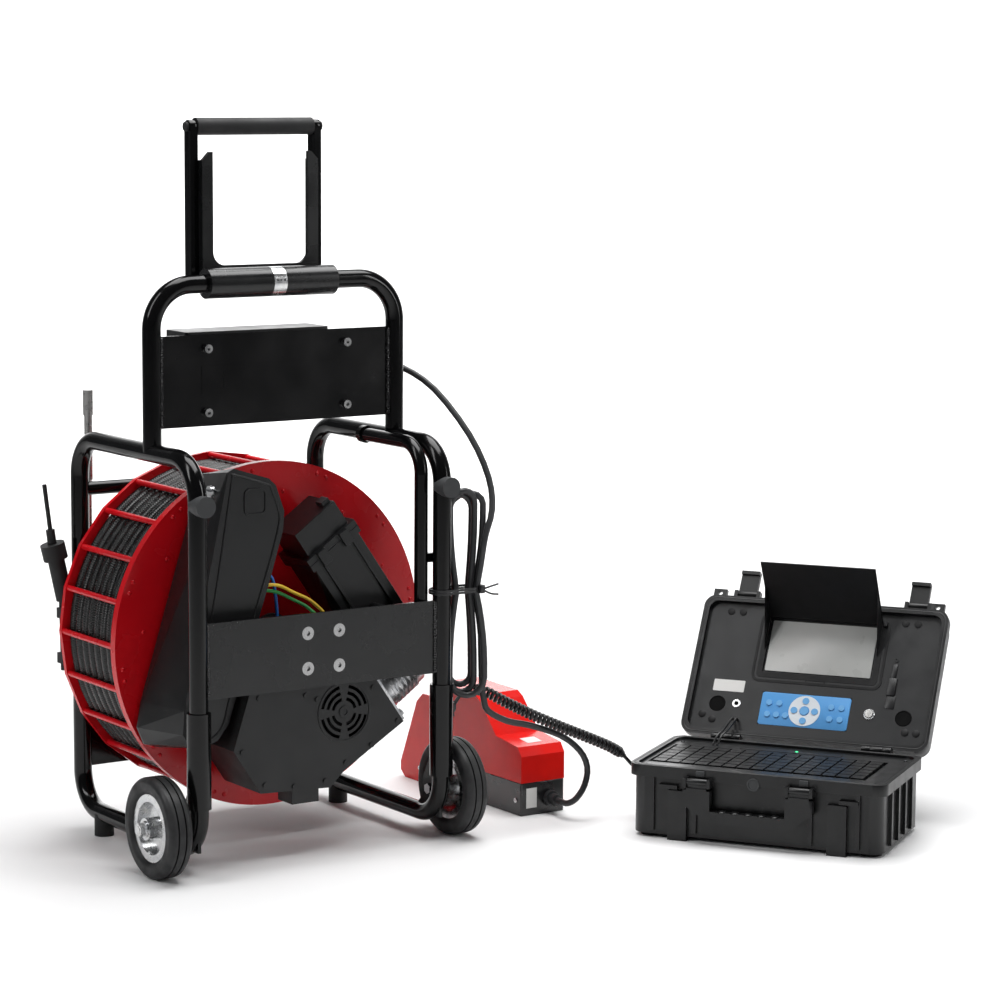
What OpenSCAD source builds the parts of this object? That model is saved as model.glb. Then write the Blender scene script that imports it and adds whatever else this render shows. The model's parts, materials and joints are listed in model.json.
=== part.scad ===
// Pipe inspection camera: cable reel on a wheeled frame, with its foot pedal and monitor case.
// Every module is drawn with its origin on the floor under the middle of the wheeled frame,
// +X to the right along the front plate, +Y to the rear along the reel axis, +Z up.

/* [Frame] */
// Outer diameter of the frame tubes
tube_d = 28; // [24:1:32]
// Distance between the side frames, tube centre to tube centre
frame_w = 420; // [400:5:520]
// Distance between front and rear posts, tube centre to tube centre
frame_depth = 374; // [360:2:460]
// Height of the lower side tube's centre
frame_low_z = 34; // [30:1:44]
// Height of the upper side tube's centre
frame_top_z = 609; // [600:1:740]
// Bend radius of the side frames at the tube centre
frame_bend = 58; // [46:1:80]
// Height of the carrying hoop's crossbar centre
hoop_top_z = 855; // [835:5:1030]
// Bend radius of the carrying hoop at the tube centre
hoop_bend = 65; // [50:1:80]
// Distance of the hoop in front of the middle of the frame
hoop_ahead = 51; // [30:1:90]
// Thickness of the front, rear and bracket plates
plate_t = 5; // [4:0.5:8]
// Height of the front plate
plate_h = 112; // [100:2:140]
// Diameter of the rear crossbar
crossbar_d = 21; // [16:1:26]
// Height of the rear crossbar's centre
crossbar_z = 529; // [480:1:560]
// Outer diameter of the sleeves on the front posts
sleeve_d = 36; // [34:1:44]
// Height of the sleeves' lower ends
sleeve_low_z = 101; // [96:1:130]
// Length of the sleeves
sleeve_h = 142; // [100:2:150]

/* [Wheels] */
// Wheel diameter
wheel_d = 150; // [130:2:170]
// Tyre width
tyre_w = 38; // [30:1:44]
// Diameter of the tyre's seat on the rim
rim_d = 100; // [84:1:110]
// Axle bolt diameter
axle_d = 12; // [10:0.5:16]
// Distance from the left side frame's tube centre to the middle of its wheel
wheel_out_left = 53; // [38:1:70]
// Distance from the right side frame's tube centre to the middle of its wheel
wheel_out_right = 39; // [38:1:70]
// Distance of the axle in front of the middle of the frame
axle_ahead = 160; // [154:1:166]

/* [Reel] */
// Height of the reel axis
reel_z = 317; // [300:1:340]
// Diameter of the reel's front flange
flange_d = 530; // [440:2:540]
// Distance from the front flange to the rear ring
reel_w = 183; // [160:1:190]
// Diameter of the spindle
spindle_d = 40; // [30:1:46]
// Running clearance of bores on their shafts, each side
running_gap = 0.05; // [0.02:0.01:0.1]
// Turns of cable across the reel
cable_turns = 9; // [7:1:11]
// Number of cage rods round the reel
cage_rods = 24; // [12:2:28]
// Diameter of a cage rod
cage_rod_d = 9; // [6:1:10]
// Diameter of the barrel that the cable is wound on
barrel_d = 372; // [300:2:400]

/* [Handle] */
// Outer diameter of the pivot sleeves
pivot_d = 45; // [38:1:52]
// Width across the handle bracket
bracket_w = 199; // [180:1:230]
// Height of the handle bracket above its lower edge
bracket_h = 213; // [190:1:240]
// Height of the grip above the pivot
grip_up = 230; // [200:1:250]
// Diameter of the grip
grip_d = 26; // [22:1:32]

/* [Panel and control box] */
// Height of the upper panel
panel_h = 136; // [120:2:150]
// Lower edge of the upper panel
panel_low_z = 644; // [636:1:660]
// Width of the control box
control_w = 245; // [220:5:260]
// Depth of the control box
control_depth = 68; // [50:1:72]
// Height of the control box
control_h = 134; // [100:2:140]

/* [Drive] */
// Depth of the drive box
drive_depth = 110; // [80:2:120]
// Wall of the drive box
drive_wall = 3; // [2:0.5:5]
// Diameter of the cooling fan
fan_d = 80; // [60:2:84]
// Diameter of the drive motor
motor_d = 68; // [54:2:72]
// Length of the drive motor
motor_len = 80; // [60:2:84]

/* [Foot pedal] */
// Outer width of the pedal hood
pedal_w = 83; // [76:1:100]
// Wall of the pedal hood
hood_wall = 3; // [2:0.5:5]
// Length of the treadle
treadle_len = 160; // [140:2:170]
// Diameter of the treadle's pin
treadle_pin_d = 8; // [6:0.5:10]

/* [Monitor case] */
// Outer width of the case
case_w = 408; // [400:2:460]
// Outer depth of the case
case_depth = 232; // [224:2:260]
// Height of the case rim
case_h = 114; // [100:1:140]
// Wall of the case shells
case_wall = 4; // [3:0.5:6]
// Depth of the lid shell
lid_depth = 44; // [38:1:60]
// Lid opening angle, from closed
lid_open = 123; // [95:1:125]
// Screen width
screen_w = 182; // [160:1:200]
// Screen height
screen_h = 95; // [80:1:104]
// Diameter of the case hinge pins
hinge_pin_d = 5; // [4:0.5:7]

/* [Cords] */
// Diameter of the pedal cord
pedal_cord_d = 10; // [8:0.5:12]
// Outer diameter of the curly cord's coils
curly_d = 19; // [14:1:22]

/* [Hidden] */
$fn = 64;

tube_r = tube_d / 2;
half_w = frame_w / 2;
post_y = frame_depth / 2;
plate_low_z = reel_z - plate_h / 2;
plate_back_y = -post_y + plate_t / 2;
spindle_r = spindle_d / 2;
axle_r = axle_d / 2;
hub_half = tyre_w / 2 + 3;
wheel_r = wheel_d / 2;
clear = 0.3;

// Spacing of the four spindle bolts
bolt_x = 27;
bolt_z = 26.5;
bolt_r = 5;

// Stations along the reel axis
flange_y = -30;
flange_t = 4;
ring_t = 8;
ring_y = flange_y + reel_w;
hub_r = spindle_r + 12;
hub_front_y = flange_y - 8;
hub_rear_y = ring_y + ring_t + 2;
spindle_flange_y = plate_back_y;
spindle_flange_t = 8;
spindle_flange_r = 46;
flange_r = flange_d / 2;
cage_r = flange_r - 4 - cage_rod_d / 2;
strand_w = (reel_w - flange_t / 2 - 2 * clear) / cable_turns;

// Handle stations, from the hoop's crossbar
pivot_r = pivot_d / 2;
handle_mid_x = -12.5;
bracket_t = 6;
bracket_back = pivot_r + bracket_t - 1.5;
bracket_low = -20;
sleeve_low_x = -120;
sleeve_high_x = 98;
collar_mid_x = -3;
collar_w = 22;

// Where the pieces behind the front plate stand, front faces
cover_front_y = -150;
case_front_y = -140;
drive_front_y = -170;

// Fan on the drive box
fan_x = 47;
fan_z = 214;

// Drive motor seat: the sloping upper right edge of the drive box
drive_edge_a = [92, 275];
drive_edge_b = [153, 188];
motor_at = drive_edge_b + 39 * (drive_edge_a - drive_edge_b) / norm(drive_edge_a - drive_edge_b);
motor_lean = atan2(drive_edge_b.x - drive_edge_a.x, drive_edge_a.y - drive_edge_b.y);

// Middle of the whole set's floor area, from under the middle of the wheeled frame
set_mid_x = 364.174;
set_mid_y = -214.723;

// Foot pedal placing
pedal_mid_x = 438.5;
pedal_pin_y = 8;
pedal_pin_z = 50;
hood_front_y = -132;
body_rear_y = -10;

// Monitor case placing and hinge
case_corner = [465, -322];
case_turn = -56;
hinge_back = 12;
lid_over = 3;
rim_lip = 6;
corner_r = 20;
deck_z = case_h - 4;
deck_t = 9;
lid_low = 3;
lid_lean = 180 - lid_open;
panel_z = -8;
shade_hinge_t = 218;
shade_len = 112;
shade_open = 117;
keys_low = [22, 50];
key_pitch = 22.6;
key_rows = 6;
key_cols = 15;
row_pitch = 21;
latch_at = [66, 352];
case_grip_low = [94, 35];
case_grip_high = [299, 96];
arm_w = 43;
case_socket = [130, 78];

// Route of the pedal cord from the control box to the hank, and from the hank to the pedal
cord_upper_route = [
    [110, -14, 716], [158, -14, 716], [205, -16, 718], [240, -28, 712], [272, -70, 680],
    [297, -130, 614], [306, -170, 552], [298, -192, 505], [279, -202, 466], [256, -194, 432]
];
cord_lower_route = [
    [269, -181, 246], [272, -184, 230], [277, -187, 212], [294, -190, 192], [330, -190, 172], [374, -190, 160],
    [431, -190, 138], [468, -190, 110], [482, -192, 82], [476, -194, 54], [460, -194, 34],
    [450, -186, 26], [451, -170, 24], [453, -152, 24]
];
// Middle, width, height, thickness and turn of the pedal cord's hank
hank_mid = [256, -178, 379];
hank_w = 62;
hank_h = 328;
hank_t = 18;
hank_turn = -24;
// Route of the curly cord from the socket on the frame to the monitor case
curly_route = [
    [246, -165, 200], [264, -158, 214], [285, -163, 222], [306, -171, 216], [333, -180, 200], [374, -190, 178],
    [420, -203, 156], [469, -213, 134], [509, -218, 115], [534, -216, 99], [547, -215, 87], [553.8, -221.1, 78]
];

// ---------------------------------------------------------------- helpers

// The whole set is centred on its own floor area
module set_down() translate([-set_mid_x, -set_mid_y, 0]) children();

module rounded_square(w, d, r) {
    square([w - 2 * r, d], center = true);
    square([w, d - 2 * r], center = true);
    for (x = [-1, 1], y = [-1, 1]) translate([x * (w / 2 - r), y * (d / 2 - r)]) circle(r);
}

module rounded_plate(low, high, r, z, t) {
    translate([(low.x + high.x) / 2, (low.y + high.y) / 2, z])
        linear_extrude(t) rounded_square(high.x - low.x, high.y - low.y, r);
}

module block(low, high) translate(low) cube(high - low);

module rod(a, b, r) {
    v = b - a;
    translate(a) rotate([0, acos(v.z / norm(v)), atan2(v.y, v.x)]) cylinder(h = norm(v), r = r);
}

module bend(radius, r, from, sweep = 90) {
    rotate([0, 0, from]) rotate_extrude(angle = sweep) translate([radius, 0]) circle(r);
}

// An upright plate in the XZ plane, from front_y towards the rear
module upright(front_y, t) translate([0, front_y + t, 0]) rotate([90, 0, 0]) linear_extrude(t) children();

// A side profile in the YZ plane, from low_x towards +X
module side_plate(low_x, t) translate([low_x, 0, 0]) rotate([90, 0, 90]) linear_extrude(t) children();

module both_sides() for (s = [-1, 1]) translate([s * half_w, 0, 0]) children();

module front_posts() both_sides() translate([0, -post_y, 0]) cylinder(h = frame_top_z, r = tube_r);

module rear_posts() both_sides() translate([0, post_y, 0]) cylinder(h = frame_top_z, r = tube_r);

function unit(v) = v / norm(v);
function between(p, i, t) =
    let (a = p[max(i - 1, 0)], b = p[i], c = p[i + 1], d = p[min(i + 2, len(p) - 1)])
    b + 0.5 * t * ((c - a) + t * ((2 * a - 5 * b + 4 * c - d) + t * (3 * b - a - 3 * c + d)));
function smooth(p, n) = [
    for (i = [0 : len(p) - 2], k = [0 : n - 1]) between(p, i, k / n),
    p[len(p) - 1]
];
function heading(p, i) = unit(p[min(i + 1, len(p) - 1)] - p[max(i - 1, 0)]);
function level(u, t) = unit(u - (u * t) * t);
function sides(p, i, u) =
    i >= len(p) ? [] : let (s = level(u, heading(p, i))) concat([s], sides(p, i + 1, s));

// A round cord swept along a path
module cord(path, r, n = 8) {
    u = sides(path, 0, [0.31, 0.17, 0.93]);
    points = [
        for (i = [0 : len(path) - 1], k = [0 : n - 1])
            let (t = heading(path, i), a = 360 * k / n)
            path[i] + r * (cos(a) * u[i] + sin(a) * cross(t, u[i]))
    ];
    last = (len(path) - 1) * n;
    faces = concat(
        [[for (k = [0 : n - 1]) k]],
        [[for (k = [n - 1 : -1 : 0]) last + k]],
        [for (i = [0 : len(path) - 2], k = [0 : n - 1])
            [i * n + k, (i + 1) * n + k, (i + 1) * n + (k + 1) % n, i * n + (k + 1) % n]]
    );
    polyhedron(points, faces, convexity = 6);
}

// ---------------------------------------------------------------- wheeled frame

module side_frame(x) {
    h = frame_top_z - frame_low_z;
    translate([x, 0, (frame_top_z + frame_low_z) / 2]) rotate([90, 0, 90]) {
        for (s = [-1, 1]) {
            translate([s * post_y, frame_bend - h / 2, 0]) rotate([-90, 0, 0])
                cylinder(h = h - 2 * frame_bend, r = tube_r);
            translate([frame_bend - post_y, s * h / 2, 0]) rotate([0, 90, 0])
                cylinder(h = frame_depth - 2 * frame_bend, r = tube_r);
        }
        for (c = [[1, 1, 0], [-1, 1, 90], [-1, -1, 180], [1, -1, 270]])
            translate([c.x * (post_y - frame_bend), c.y * (h / 2 - frame_bend), 0])
                bend(frame_bend, tube_r, c.z);
    }
}

module side_frame_left() color("#101010") set_down() side_frame(-half_w);

module side_frame_right() color("#101010") set_down() side_frame(half_w);

module rear_frame_bars() color("#151515") set_down() difference() {
    union() {
        rod([-half_w, post_y, crossbar_z], [half_w, post_y, crossbar_z], crossbar_d / 2);
        block([-half_w, post_y - plate_t / 2, 95], [half_w, post_y + plate_t / 2, 95 + plate_h]);
    }
    rear_posts();
}

module bolt_places() for (x = [-bolt_x, bolt_x], z = [-bolt_z, bolt_z]) translate([x, 0, reel_z + z]) children();

// Stand-off on the back of the front plate
module stand_off(x, z, r, end_y) rod([x, plate_back_y, z], [x, end_y, z], r);

module front_plate() color("#2b2b2d") set_down() {
    difference() {
        block([-half_w, -post_y - plate_t / 2, plate_low_z],
              [half_w, plate_back_y, plate_low_z + plate_h]);
        front_posts();
        bolt_places() translate([0, plate_back_y, 0]) rotate([90, 0, 0]) cylinder(h = plate_t, r = bolt_r);
        bolt_places() translate([0, plate_back_y, 0]) rotate([90, 0, 0]) cylinder(h = plate_t, r1 = bolt_r, r2 = 2 * bolt_r);
    }
    stand_off(-160, 345, 8, cover_front_y);
    stand_off(-150, 285, 8, cover_front_y);
    stand_off(118, 362, 8, case_front_y);
    stand_off(140, 330, 8, case_front_y);
    stand_off(-80, 267, 6, drive_front_y);
    stand_off(80, 267, 6, drive_front_y);
}

// Countersunk bolt, head flush with the front of the plate
module plate_bolt() rotate([90, 0, 0]) difference() {
    union() {
        translate([0, 0, -spindle_flange_t]) cylinder(h = spindle_flange_t + plate_t, r = bolt_r);
        cylinder(h = plate_t, r1 = bolt_r, r2 = 2 * bolt_r);
    }
    translate([0, 0, plate_t - 3]) cylinder(h = 4, r = 4, $fn = 6);
}

// The four spindle bolts and the four bolts of the upper panel
module frame_bolts() color("#b4b5b7") set_down() {
    bolt_places() translate([0, plate_back_y, 0]) plate_bolt();
    panel_bolt_places() panel_bolt();
}

module post_sleeves() color("#1a1a1b") set_down() both_sides() translate([0, -post_y, sleeve_low_z]) difference() {
    cylinder(h = sleeve_h, r = sleeve_d / 2);
    translate([0, 0, -1]) cylinder(h = sleeve_h + 2, r = tube_r);
}

// Gusset plate inside the lower front corner, which carries the axle bolt
module wheel_brackets() color("#161616") set_down() difference() {
    both_sides() side_plate(-plate_t / 2, plate_t)
        polygon([[-post_y, frame_low_z], [-post_y, 150], [-post_y + tube_r, 150],
                 [-axle_ahead + 19, wheel_r + 18], [-axle_ahead + 23, wheel_r + 4],
                 [-axle_ahead + 20, wheel_r - 12], [-axle_ahead + 34, frame_low_z + tube_r],
                 [-axle_ahead + 34, frame_low_z]]);
    side_frame(-half_w);
    side_frame(half_w);
    rod([-half_w - 20, -axle_ahead, wheel_r], [half_w + 20, -axle_ahead, wheel_r], axle_r);
    block([-half_w - 20, -post_y - 40, 0], [half_w + 20, -post_y + frame_bend, frame_low_z]);
    block([-half_w - 20, -post_y - 40, 0], [half_w + 20, -post_y, 200]);
    block([-half_w - 20, -post_y - 40, 0], [half_w + 20, 0, frame_low_z]);
    both_sides() translate([0, -post_y, sleeve_low_z]) cylinder(h = sleeve_h, r = sleeve_d / 2);
}

function wheel_out(s) = s < 0 ? wheel_out_left : wheel_out_right;

module on_axle(s) translate([s * (half_w + wheel_out(s)), -axle_ahead, wheel_r]) rotate([0, s * 90, 0]) children();

module wheel_axles() color("#b9bbbd") set_down() for (s = [-1, 1]) on_axle(s) {
    head = -wheel_out(s) - plate_t / 2;
    translate([0, 0, head - 6]) cylinder(h = 6, r = axle_r + 2.4, $fn = 6);
    translate([0, 0, head]) cylinder(h = hub_half + clear + 12 - head, r = axle_r);
    translate([0, 0, head + plate_t]) cylinder(h = -hub_half - clear - head - plate_t, r = axle_r + 2.4);
    translate([0, 0, hub_half + clear]) cylinder(h = 2.5, r = 12);
    translate([0, 0, hub_half + clear + 2.5]) cylinder(h = 9, r = 10.5, $fn = 6);
}

module tyre(s) color("#1c1c1c") set_down() on_axle(s) rotate_extrude($fn = 96) difference() {
    translate([(rim_d / 2 + wheel_r) / 2, 0]) rounded_square(wheel_r - rim_d / 2, tyre_w, 9);
    for (g = [-6, 6]) translate([wheel_r - 1, g]) square([4, 2.5], center = true);
}

module rim(s) color("#c9ccd0") set_down() on_axle(s) rotate_extrude($fn = 96) {
    translate([axle_r + running_gap, -hub_half]) square([10, 2 * hub_half]);
    translate([axle_r + running_gap, 0]) square([rim_d / 2 - 7 - axle_r, 3]);
    translate([rim_d / 2 - 11, -13]) square([3, 16]);
    translate([rim_d / 2 - 11, -13]) square([11, 3]);
    translate([rim_d / 2 - 11, 0]) square([3, 14]);
    translate([rim_d / 2 - 11, 11]) square([11, 3]);
}

module tyre_left() tyre(-1);

module rim_left() rim(-1);

module tyre_right() tyre(1);

module rim_right() rim(1);

module rubber_feet() color("#222222") set_down() difference() {
    both_sides() translate([0, 117, 0]) cylinder(h = frame_low_z, r = 15);
    both_sides() rod([0, -post_y, frame_low_z], [0, post_y, frame_low_z], tube_r);
}

module post_buffers() color("#2e2e30") set_down() difference() {
    both_sides() rod([0, -post_y, 547], [0, -post_y - 27, 547], 15.5);
    front_posts();
}

module upper_hoop() color("#101010") set_down() difference() {
    union() {
        for (s = [-1, 1]) {
            translate([s * half_w, -hoop_ahead, frame_top_z])
                cylinder(h = hoop_top_z - hoop_bend - frame_top_z, r = tube_r);
            translate([s * (half_w - hoop_bend), -hoop_ahead, hoop_top_z - hoop_bend]) rotate([90, 0, 0])
                bend(hoop_bend, tube_r, s > 0 ? 0 : 90);
        }
        rod([hoop_bend - half_w, -hoop_ahead, hoop_top_z], [half_w - hoop_bend, -hoop_ahead, hoop_top_z], tube_r);
    }
    both_sides() rod([0, -post_y, frame_top_z], [0, post_y, frame_top_z], tube_r);
}

panel_mid_z = panel_low_z + panel_h / 2;
module panel_bolt_places() for (x = [-120, 120], z = [-47.5, 47.5])
    translate([x, -hoop_ahead - plate_t / 2, panel_mid_z + z]) rotate([90, 0, 0]) children();

module upper_panel() color("#141415") set_down() {
    difference() {
        block([-half_w, -hoop_ahead - plate_t / 2, panel_low_z],
              [half_w, -hoop_ahead + plate_t / 2, panel_low_z + panel_h]);
        both_sides() translate([0, -hoop_ahead, 0]) cylinder(h = 2 * hoop_top_z, r = tube_r);
        panel_bolt_places() translate([0, 0, -plate_t - 1]) cylinder(h = plate_t + 2, r = 4);
    }
    block([-128, -hoop_ahead - plate_t / 2 - 0.6, panel_mid_z - 22],
          [132, -hoop_ahead - plate_t / 2, panel_mid_z + 22]);
}

module panel_bolt() difference() {
    union() {
        translate([0, 0, -plate_t]) cylinder(h = plate_t, r = 4);
        cylinder(h = 8, r = 6.5);
    }
    translate([0, 0, 4]) cylinder(h = 5, r = 3, $fn = 6);
}

control_mid_x = -27.5;
control_back_y = -hoop_ahead + plate_t / 2;
module control_box() color("#1b1b1c") set_down() {
    top = panel_low_z + panel_h + 4;
    right = control_mid_x + control_w / 2;
    translate([control_mid_x, control_back_y + control_depth / 2, top - control_h])
        linear_extrude(control_h) rounded_square(control_w, control_depth, 6);
    rod([right, -14, 716], cord_upper_route[0], 9);
}

// Bent steel conduit inside the right side frame
conduit_x = half_w - 28;
conduit_r = 10.5;
conduit_low_z = 300;
module cable_conduit() color("#121212") set_down() {
    bend_r = 45;
    z = frame_top_z + 1;
    front = -post_y + 15;
    rod([conduit_x, -15, z], [conduit_x, front + bend_r, z], conduit_r);
    translate([conduit_x, front + bend_r, z - bend_r]) rotate([90, 0, 90]) bend(bend_r, conduit_r, 90);
    rod([conduit_x, front, conduit_low_z], [conduit_x, front, z - bend_r], conduit_r);
    rod([conduit_x, -15, z], [conduit_x, -5, z], conduit_r + 3);
    difference() {
        block([conduit_x, front - 5, 430], [half_w, front + 5, 444]);
        front_posts();
    }
    difference() {
        block([conduit_x, -70, z - 5], [half_w, -60, z + 5]);
        side_frame(half_w);
    }
}

module reel_spindle() color("#77797c") set_down() {
    difference() {
        rod([0, spindle_flange_y, reel_z], [0, spindle_flange_y + spindle_flange_t, reel_z], spindle_flange_r);
        bolt_places() rod([0, plate_back_y, 0], [0, plate_back_y + spindle_flange_t, 0], bolt_r);
    }
    rod([0, spindle_flange_y + spindle_flange_t, reel_z], [0, hub_rear_y + 8, reel_z], spindle_r);
    rod([0, hub_front_y - 5, reel_z], [0, hub_front_y - clear, reel_z], spindle_r + 8);
    rod([0, hub_rear_y + clear, reel_z], [0, hub_rear_y + 8, reel_z], spindle_r + 8);
}

// ---------------------------------------------------------------- reel

module about_reel() translate([0, 0, reel_z]) rotate([-90, 0, 0]) children();

module ring(inner, outer, low, high) translate([0, 0, low]) difference() {
    cylinder(h = high - low, r = outer, $fn = 128);
    translate([0, 0, -1]) cylinder(h = high - low + 2, r = inner, $fn = 128);
}

module drum_flange() color("#c4121a") set_down() about_reel() {
    ring(hub_r, flange_r, flange_y - flange_t / 2, flange_y + flange_t / 2);
    ring(flange_r - 3, flange_r, flange_y + flange_t / 2, flange_y + flange_t / 2 + 10);
}

cage_step = 360 / cage_rods;
module cage_ring(r) polygon([for (k = [0 : cage_rods - 1]) r * [cos(k * cage_step), sin(k * cage_step)]]);

module drum_cage() color("#c4121a") set_down() about_reel() {
    translate([0, 0, ring_y]) linear_extrude(ring_t) difference() {
        cage_ring(cage_r + cage_rod_d / 2);
        cage_ring(cage_r - cage_rod_d);
    }
    for (k = [0 : cage_rods - 1]) rotate([0, 0, k * cage_step])
        translate([cage_r - 1, 0, flange_y + flange_t / 2]) cylinder(h = reel_w - flange_t / 2, r = cage_rod_d / 2, $fn = 24);
    difference() {
        for (k = [0 : 5]) rotate([0, 0, 60 * k])
            block([0, -12, ring_y], [cage_r - cage_rod_d + 4, 12, ring_y + ring_t]);
        translate([0, 0, ring_y - 1]) cylinder(h = ring_t + 2, r = hub_r);
    }
}

module drum_barrel() color("#3a3a3c") set_down() about_reel()
    ring(barrel_d / 2 - 3, barrel_d / 2, flange_y + flange_t / 2, ring_y);

module drum_hub() color("#6d6f72") set_down() about_reel()
    ring(spindle_r + running_gap, hub_r, hub_front_y, hub_rear_y);

module wound_cable() color("#161616") set_down() about_reel() {
    low = flange_y + flange_t / 2 + clear;
    strand_r = strand_w / 2 - clear / 2;
    top = cage_r - 1 - cage_rod_d / 2 - clear - strand_r;
    ring(barrel_d / 2, top, low, low + cable_turns * strand_w - clear);
    for (k = [0 : cable_turns - 1]) translate([0, 0, low + (k + 0.5) * strand_w - clear / 2])
        rotate_extrude($fn = 96) translate([top, 0]) circle(strand_r, $fn = 32);
}

// ---------------------------------------------------------------- folding handle

module at_pivot() translate([0, -hoop_ahead, hoop_top_z]) children();

module sleeve_piece(low_x, high_x, r, bore) difference() {
    rod([low_x, 0, 0], [high_x, 0, 0], r);
    rod([low_x - 1, 0, 0], [high_x + 1, 0, 0], bore);
}

module handle_sleeve() color("#1d1d1e") set_down() at_pivot() {
    sleeve_piece(sleeve_low_x, collar_mid_x - collar_w / 2 - clear, pivot_r, tube_r + running_gap);
    sleeve_piece(collar_mid_x + collar_w / 2 + clear, sleeve_high_x, pivot_r, tube_r + running_gap);
}

module clamp_collar() color("#cfd1d3") set_down() at_pivot() difference() {
    sleeve_piece(collar_mid_x - collar_w / 2, collar_mid_x + collar_w / 2, pivot_r, tube_r);
    for (x = [-6, 0, 6]) rod([collar_mid_x + x, -pivot_r - 2, 4], [collar_mid_x + x, -pivot_r + 3, 4], 2.2);
}

module handle_bracket() color("#0e0e0f") set_down() at_pivot() difference() {
    union() {
        difference() {
            upright(bracket_back - bracket_t, bracket_t) polygon([
                [handle_mid_x - bracket_w / 2, bracket_low],
                [handle_mid_x + bracket_w / 2, bracket_low],
                [handle_mid_x + bracket_w / 2, bracket_low + bracket_h - 12],
                [handle_mid_x + bracket_w / 2 - 12, bracket_low + bracket_h],
                [handle_mid_x - bracket_w / 2 + 12, bracket_low + bracket_h],
                [handle_mid_x - bracket_w / 2, bracket_low + bracket_h - 12]
            ]);
            upright(bracket_back - bracket_t - 1, bracket_t + 2) translate([handle_mid_x, 225])
                rounded_square(bracket_w - 36, 400, 20);
        }
        for (s = [-1, 1]) translate([handle_mid_x + s * (bracket_w / 2 - 2), 0, 0])
            block([-2, bracket_back - 1, bracket_low + 20], [2, bracket_back + 26, bracket_low + bracket_h - 12]);
    }
    rod([sleeve_low_x - 10, 0, 0], [sleeve_high_x + 10, 0, 0], pivot_r);
    rod([collar_mid_x - collar_w / 2 - clear, 0, 0], [collar_mid_x + collar_w / 2 + clear, 0, 0], pivot_r + clear);
}

module handle_bars() color("#0e0e0f") set_down() at_pivot() for (s = [-1, 1]) difference() {
    translate([handle_mid_x + s * (bracket_w / 2 + 6.5), bracket_back + 16, 0]) {
        block([-6.5, -10, bracket_low + 20], [6.5, 10, grip_up]);
        translate([0, 0, grip_up]) rod([-6.5, 0, 0], [6.5, 0, 0], 10);
    }
    translate([handle_mid_x, bracket_back + 16, grip_up]) rod([-160, 0, 0], [160, 0, 0], 5);
}

module handle_grip() color("#2a2a2c") set_down() at_pivot() translate([handle_mid_x, bracket_back + 16, grip_up]) {
    rod([-bracket_w / 2, 0, 0], [bracket_w / 2, 0, 0], grip_d / 2);
    rod([-bracket_w / 2 - 13, 0, 0], [bracket_w / 2 + 13, 0, 0], 5);
    for (s = [-1, 1]) rod([s * (bracket_w / 2 + 13), 0, 0], [s * (bracket_w / 2 + 17), 0, 0], 7);
}

// ---------------------------------------------------------------- battery, drive and wiring

// Moulded battery cover: a sloping front face with a wider foot at the rear left
knob_at = [-147, -118, 555];
module battery_cover() color("#2a2b2d") set_down() difference() {
    cover_shape();
    rod(knob_at, knob_at + [20, 0, 0], 4 + clear);
}

module cover_shape() hull() {
    upright(cover_front_y, 4) polygon([
        [-138, 586], [-128, 591], [-70, 573], [-58, 562], [-44, 523], [-46, 495], [-66, 430],
        [-125, 262], [-140, 212], [-158, 190], [-182, 181], [-204, 186], [-216, 204], [-214, 240], [-176, 377]
    ]);
    upright(-48, 4) polygon([
        [-126, 572], [-66, 556], [-50, 520], [-70, 430], [-130, 262], [-146, 205], [-162, 178],
        [-200, 166], [-226, 174], [-237, 200], [-230, 238], [-205, 313], [-171, 401]
    ]);
}

module cover_knob() color("#c4c6c8") set_down() translate(knob_at) {
    rod([16, 0, 0], [0, 0, 0], 4);
    rod([0, 0, 0], [-6, 0, 0], 9);
    block([-12, -16, -2], [-6, 16, 2]);
}

// Electronics case, leaning to the right behind the front plate
module case_lean() translate([9, case_front_y, 437]) rotate([0, -35, 0]) children();

module battery_case() color("#232425") set_down() case_lean() {
    block([0, 0, -195], [91, 80, -12]);
    block([-5, -2, -12], [96, 84, -1]);
    for (x = [14, 74]) block([x, -4, -150], [x + 5, 0, -15]);
}

module battery_lid() color("#1e1f20") set_down() case_lean() {
    block([-5, -2, -1 + clear], [96, 84, 10]);
    block([4, 4, 10], [87, 78, 52]);
    block([14, -8, -14], [30, -2, 10]);
    block([60, -8, -14], [76, -2, 10]);
    block([70, 10, 52], [84, 30, 60]);
}

drive_outline = [
    [-110, 275], [-143, 175], [-97, 106], [23, 101], [47, 124], drive_edge_b, drive_edge_a
];
drive_hollow = [
    [-104, 271], [-136, 176], [-94, 112], [20, 107], [44, 130], [146, 190], [89, 271]
];
module drive_box() color("#262728") set_down() {
    difference() {
        upright(drive_front_y + drive_wall, drive_depth - drive_wall) polygon(drive_outline);
        upright(drive_front_y + drive_wall - 1, drive_depth - 2 * drive_wall + 1) polygon(drive_hollow);
    }
    block([-42, drive_front_y + drive_wall, 82], [4, drive_front_y + 45, 103.2]);
    rod([fan_x, drive_front_y + 32, fan_z], [fan_x, drive_front_y + drive_depth - drive_wall, fan_z], 14);
    rod([fan_x, drive_front_y + 8, fan_z], [fan_x, drive_front_y + 32, fan_z], 3);
}

screw_places = [
    [-100, 250], [-128, 172], [-90, 118], [14, 112], [98, 246], [142, 190], [50, 136],
    [-20, 246], [0, 238], [-40, 110], [95, 158]
];
module fan_slot(r, w) for (k = [0 : 3]) rotate([0, 0, 90 * k + 12])
    rotate_extrude(angle = 66) translate([r, 0]) square([w, 20]);

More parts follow.
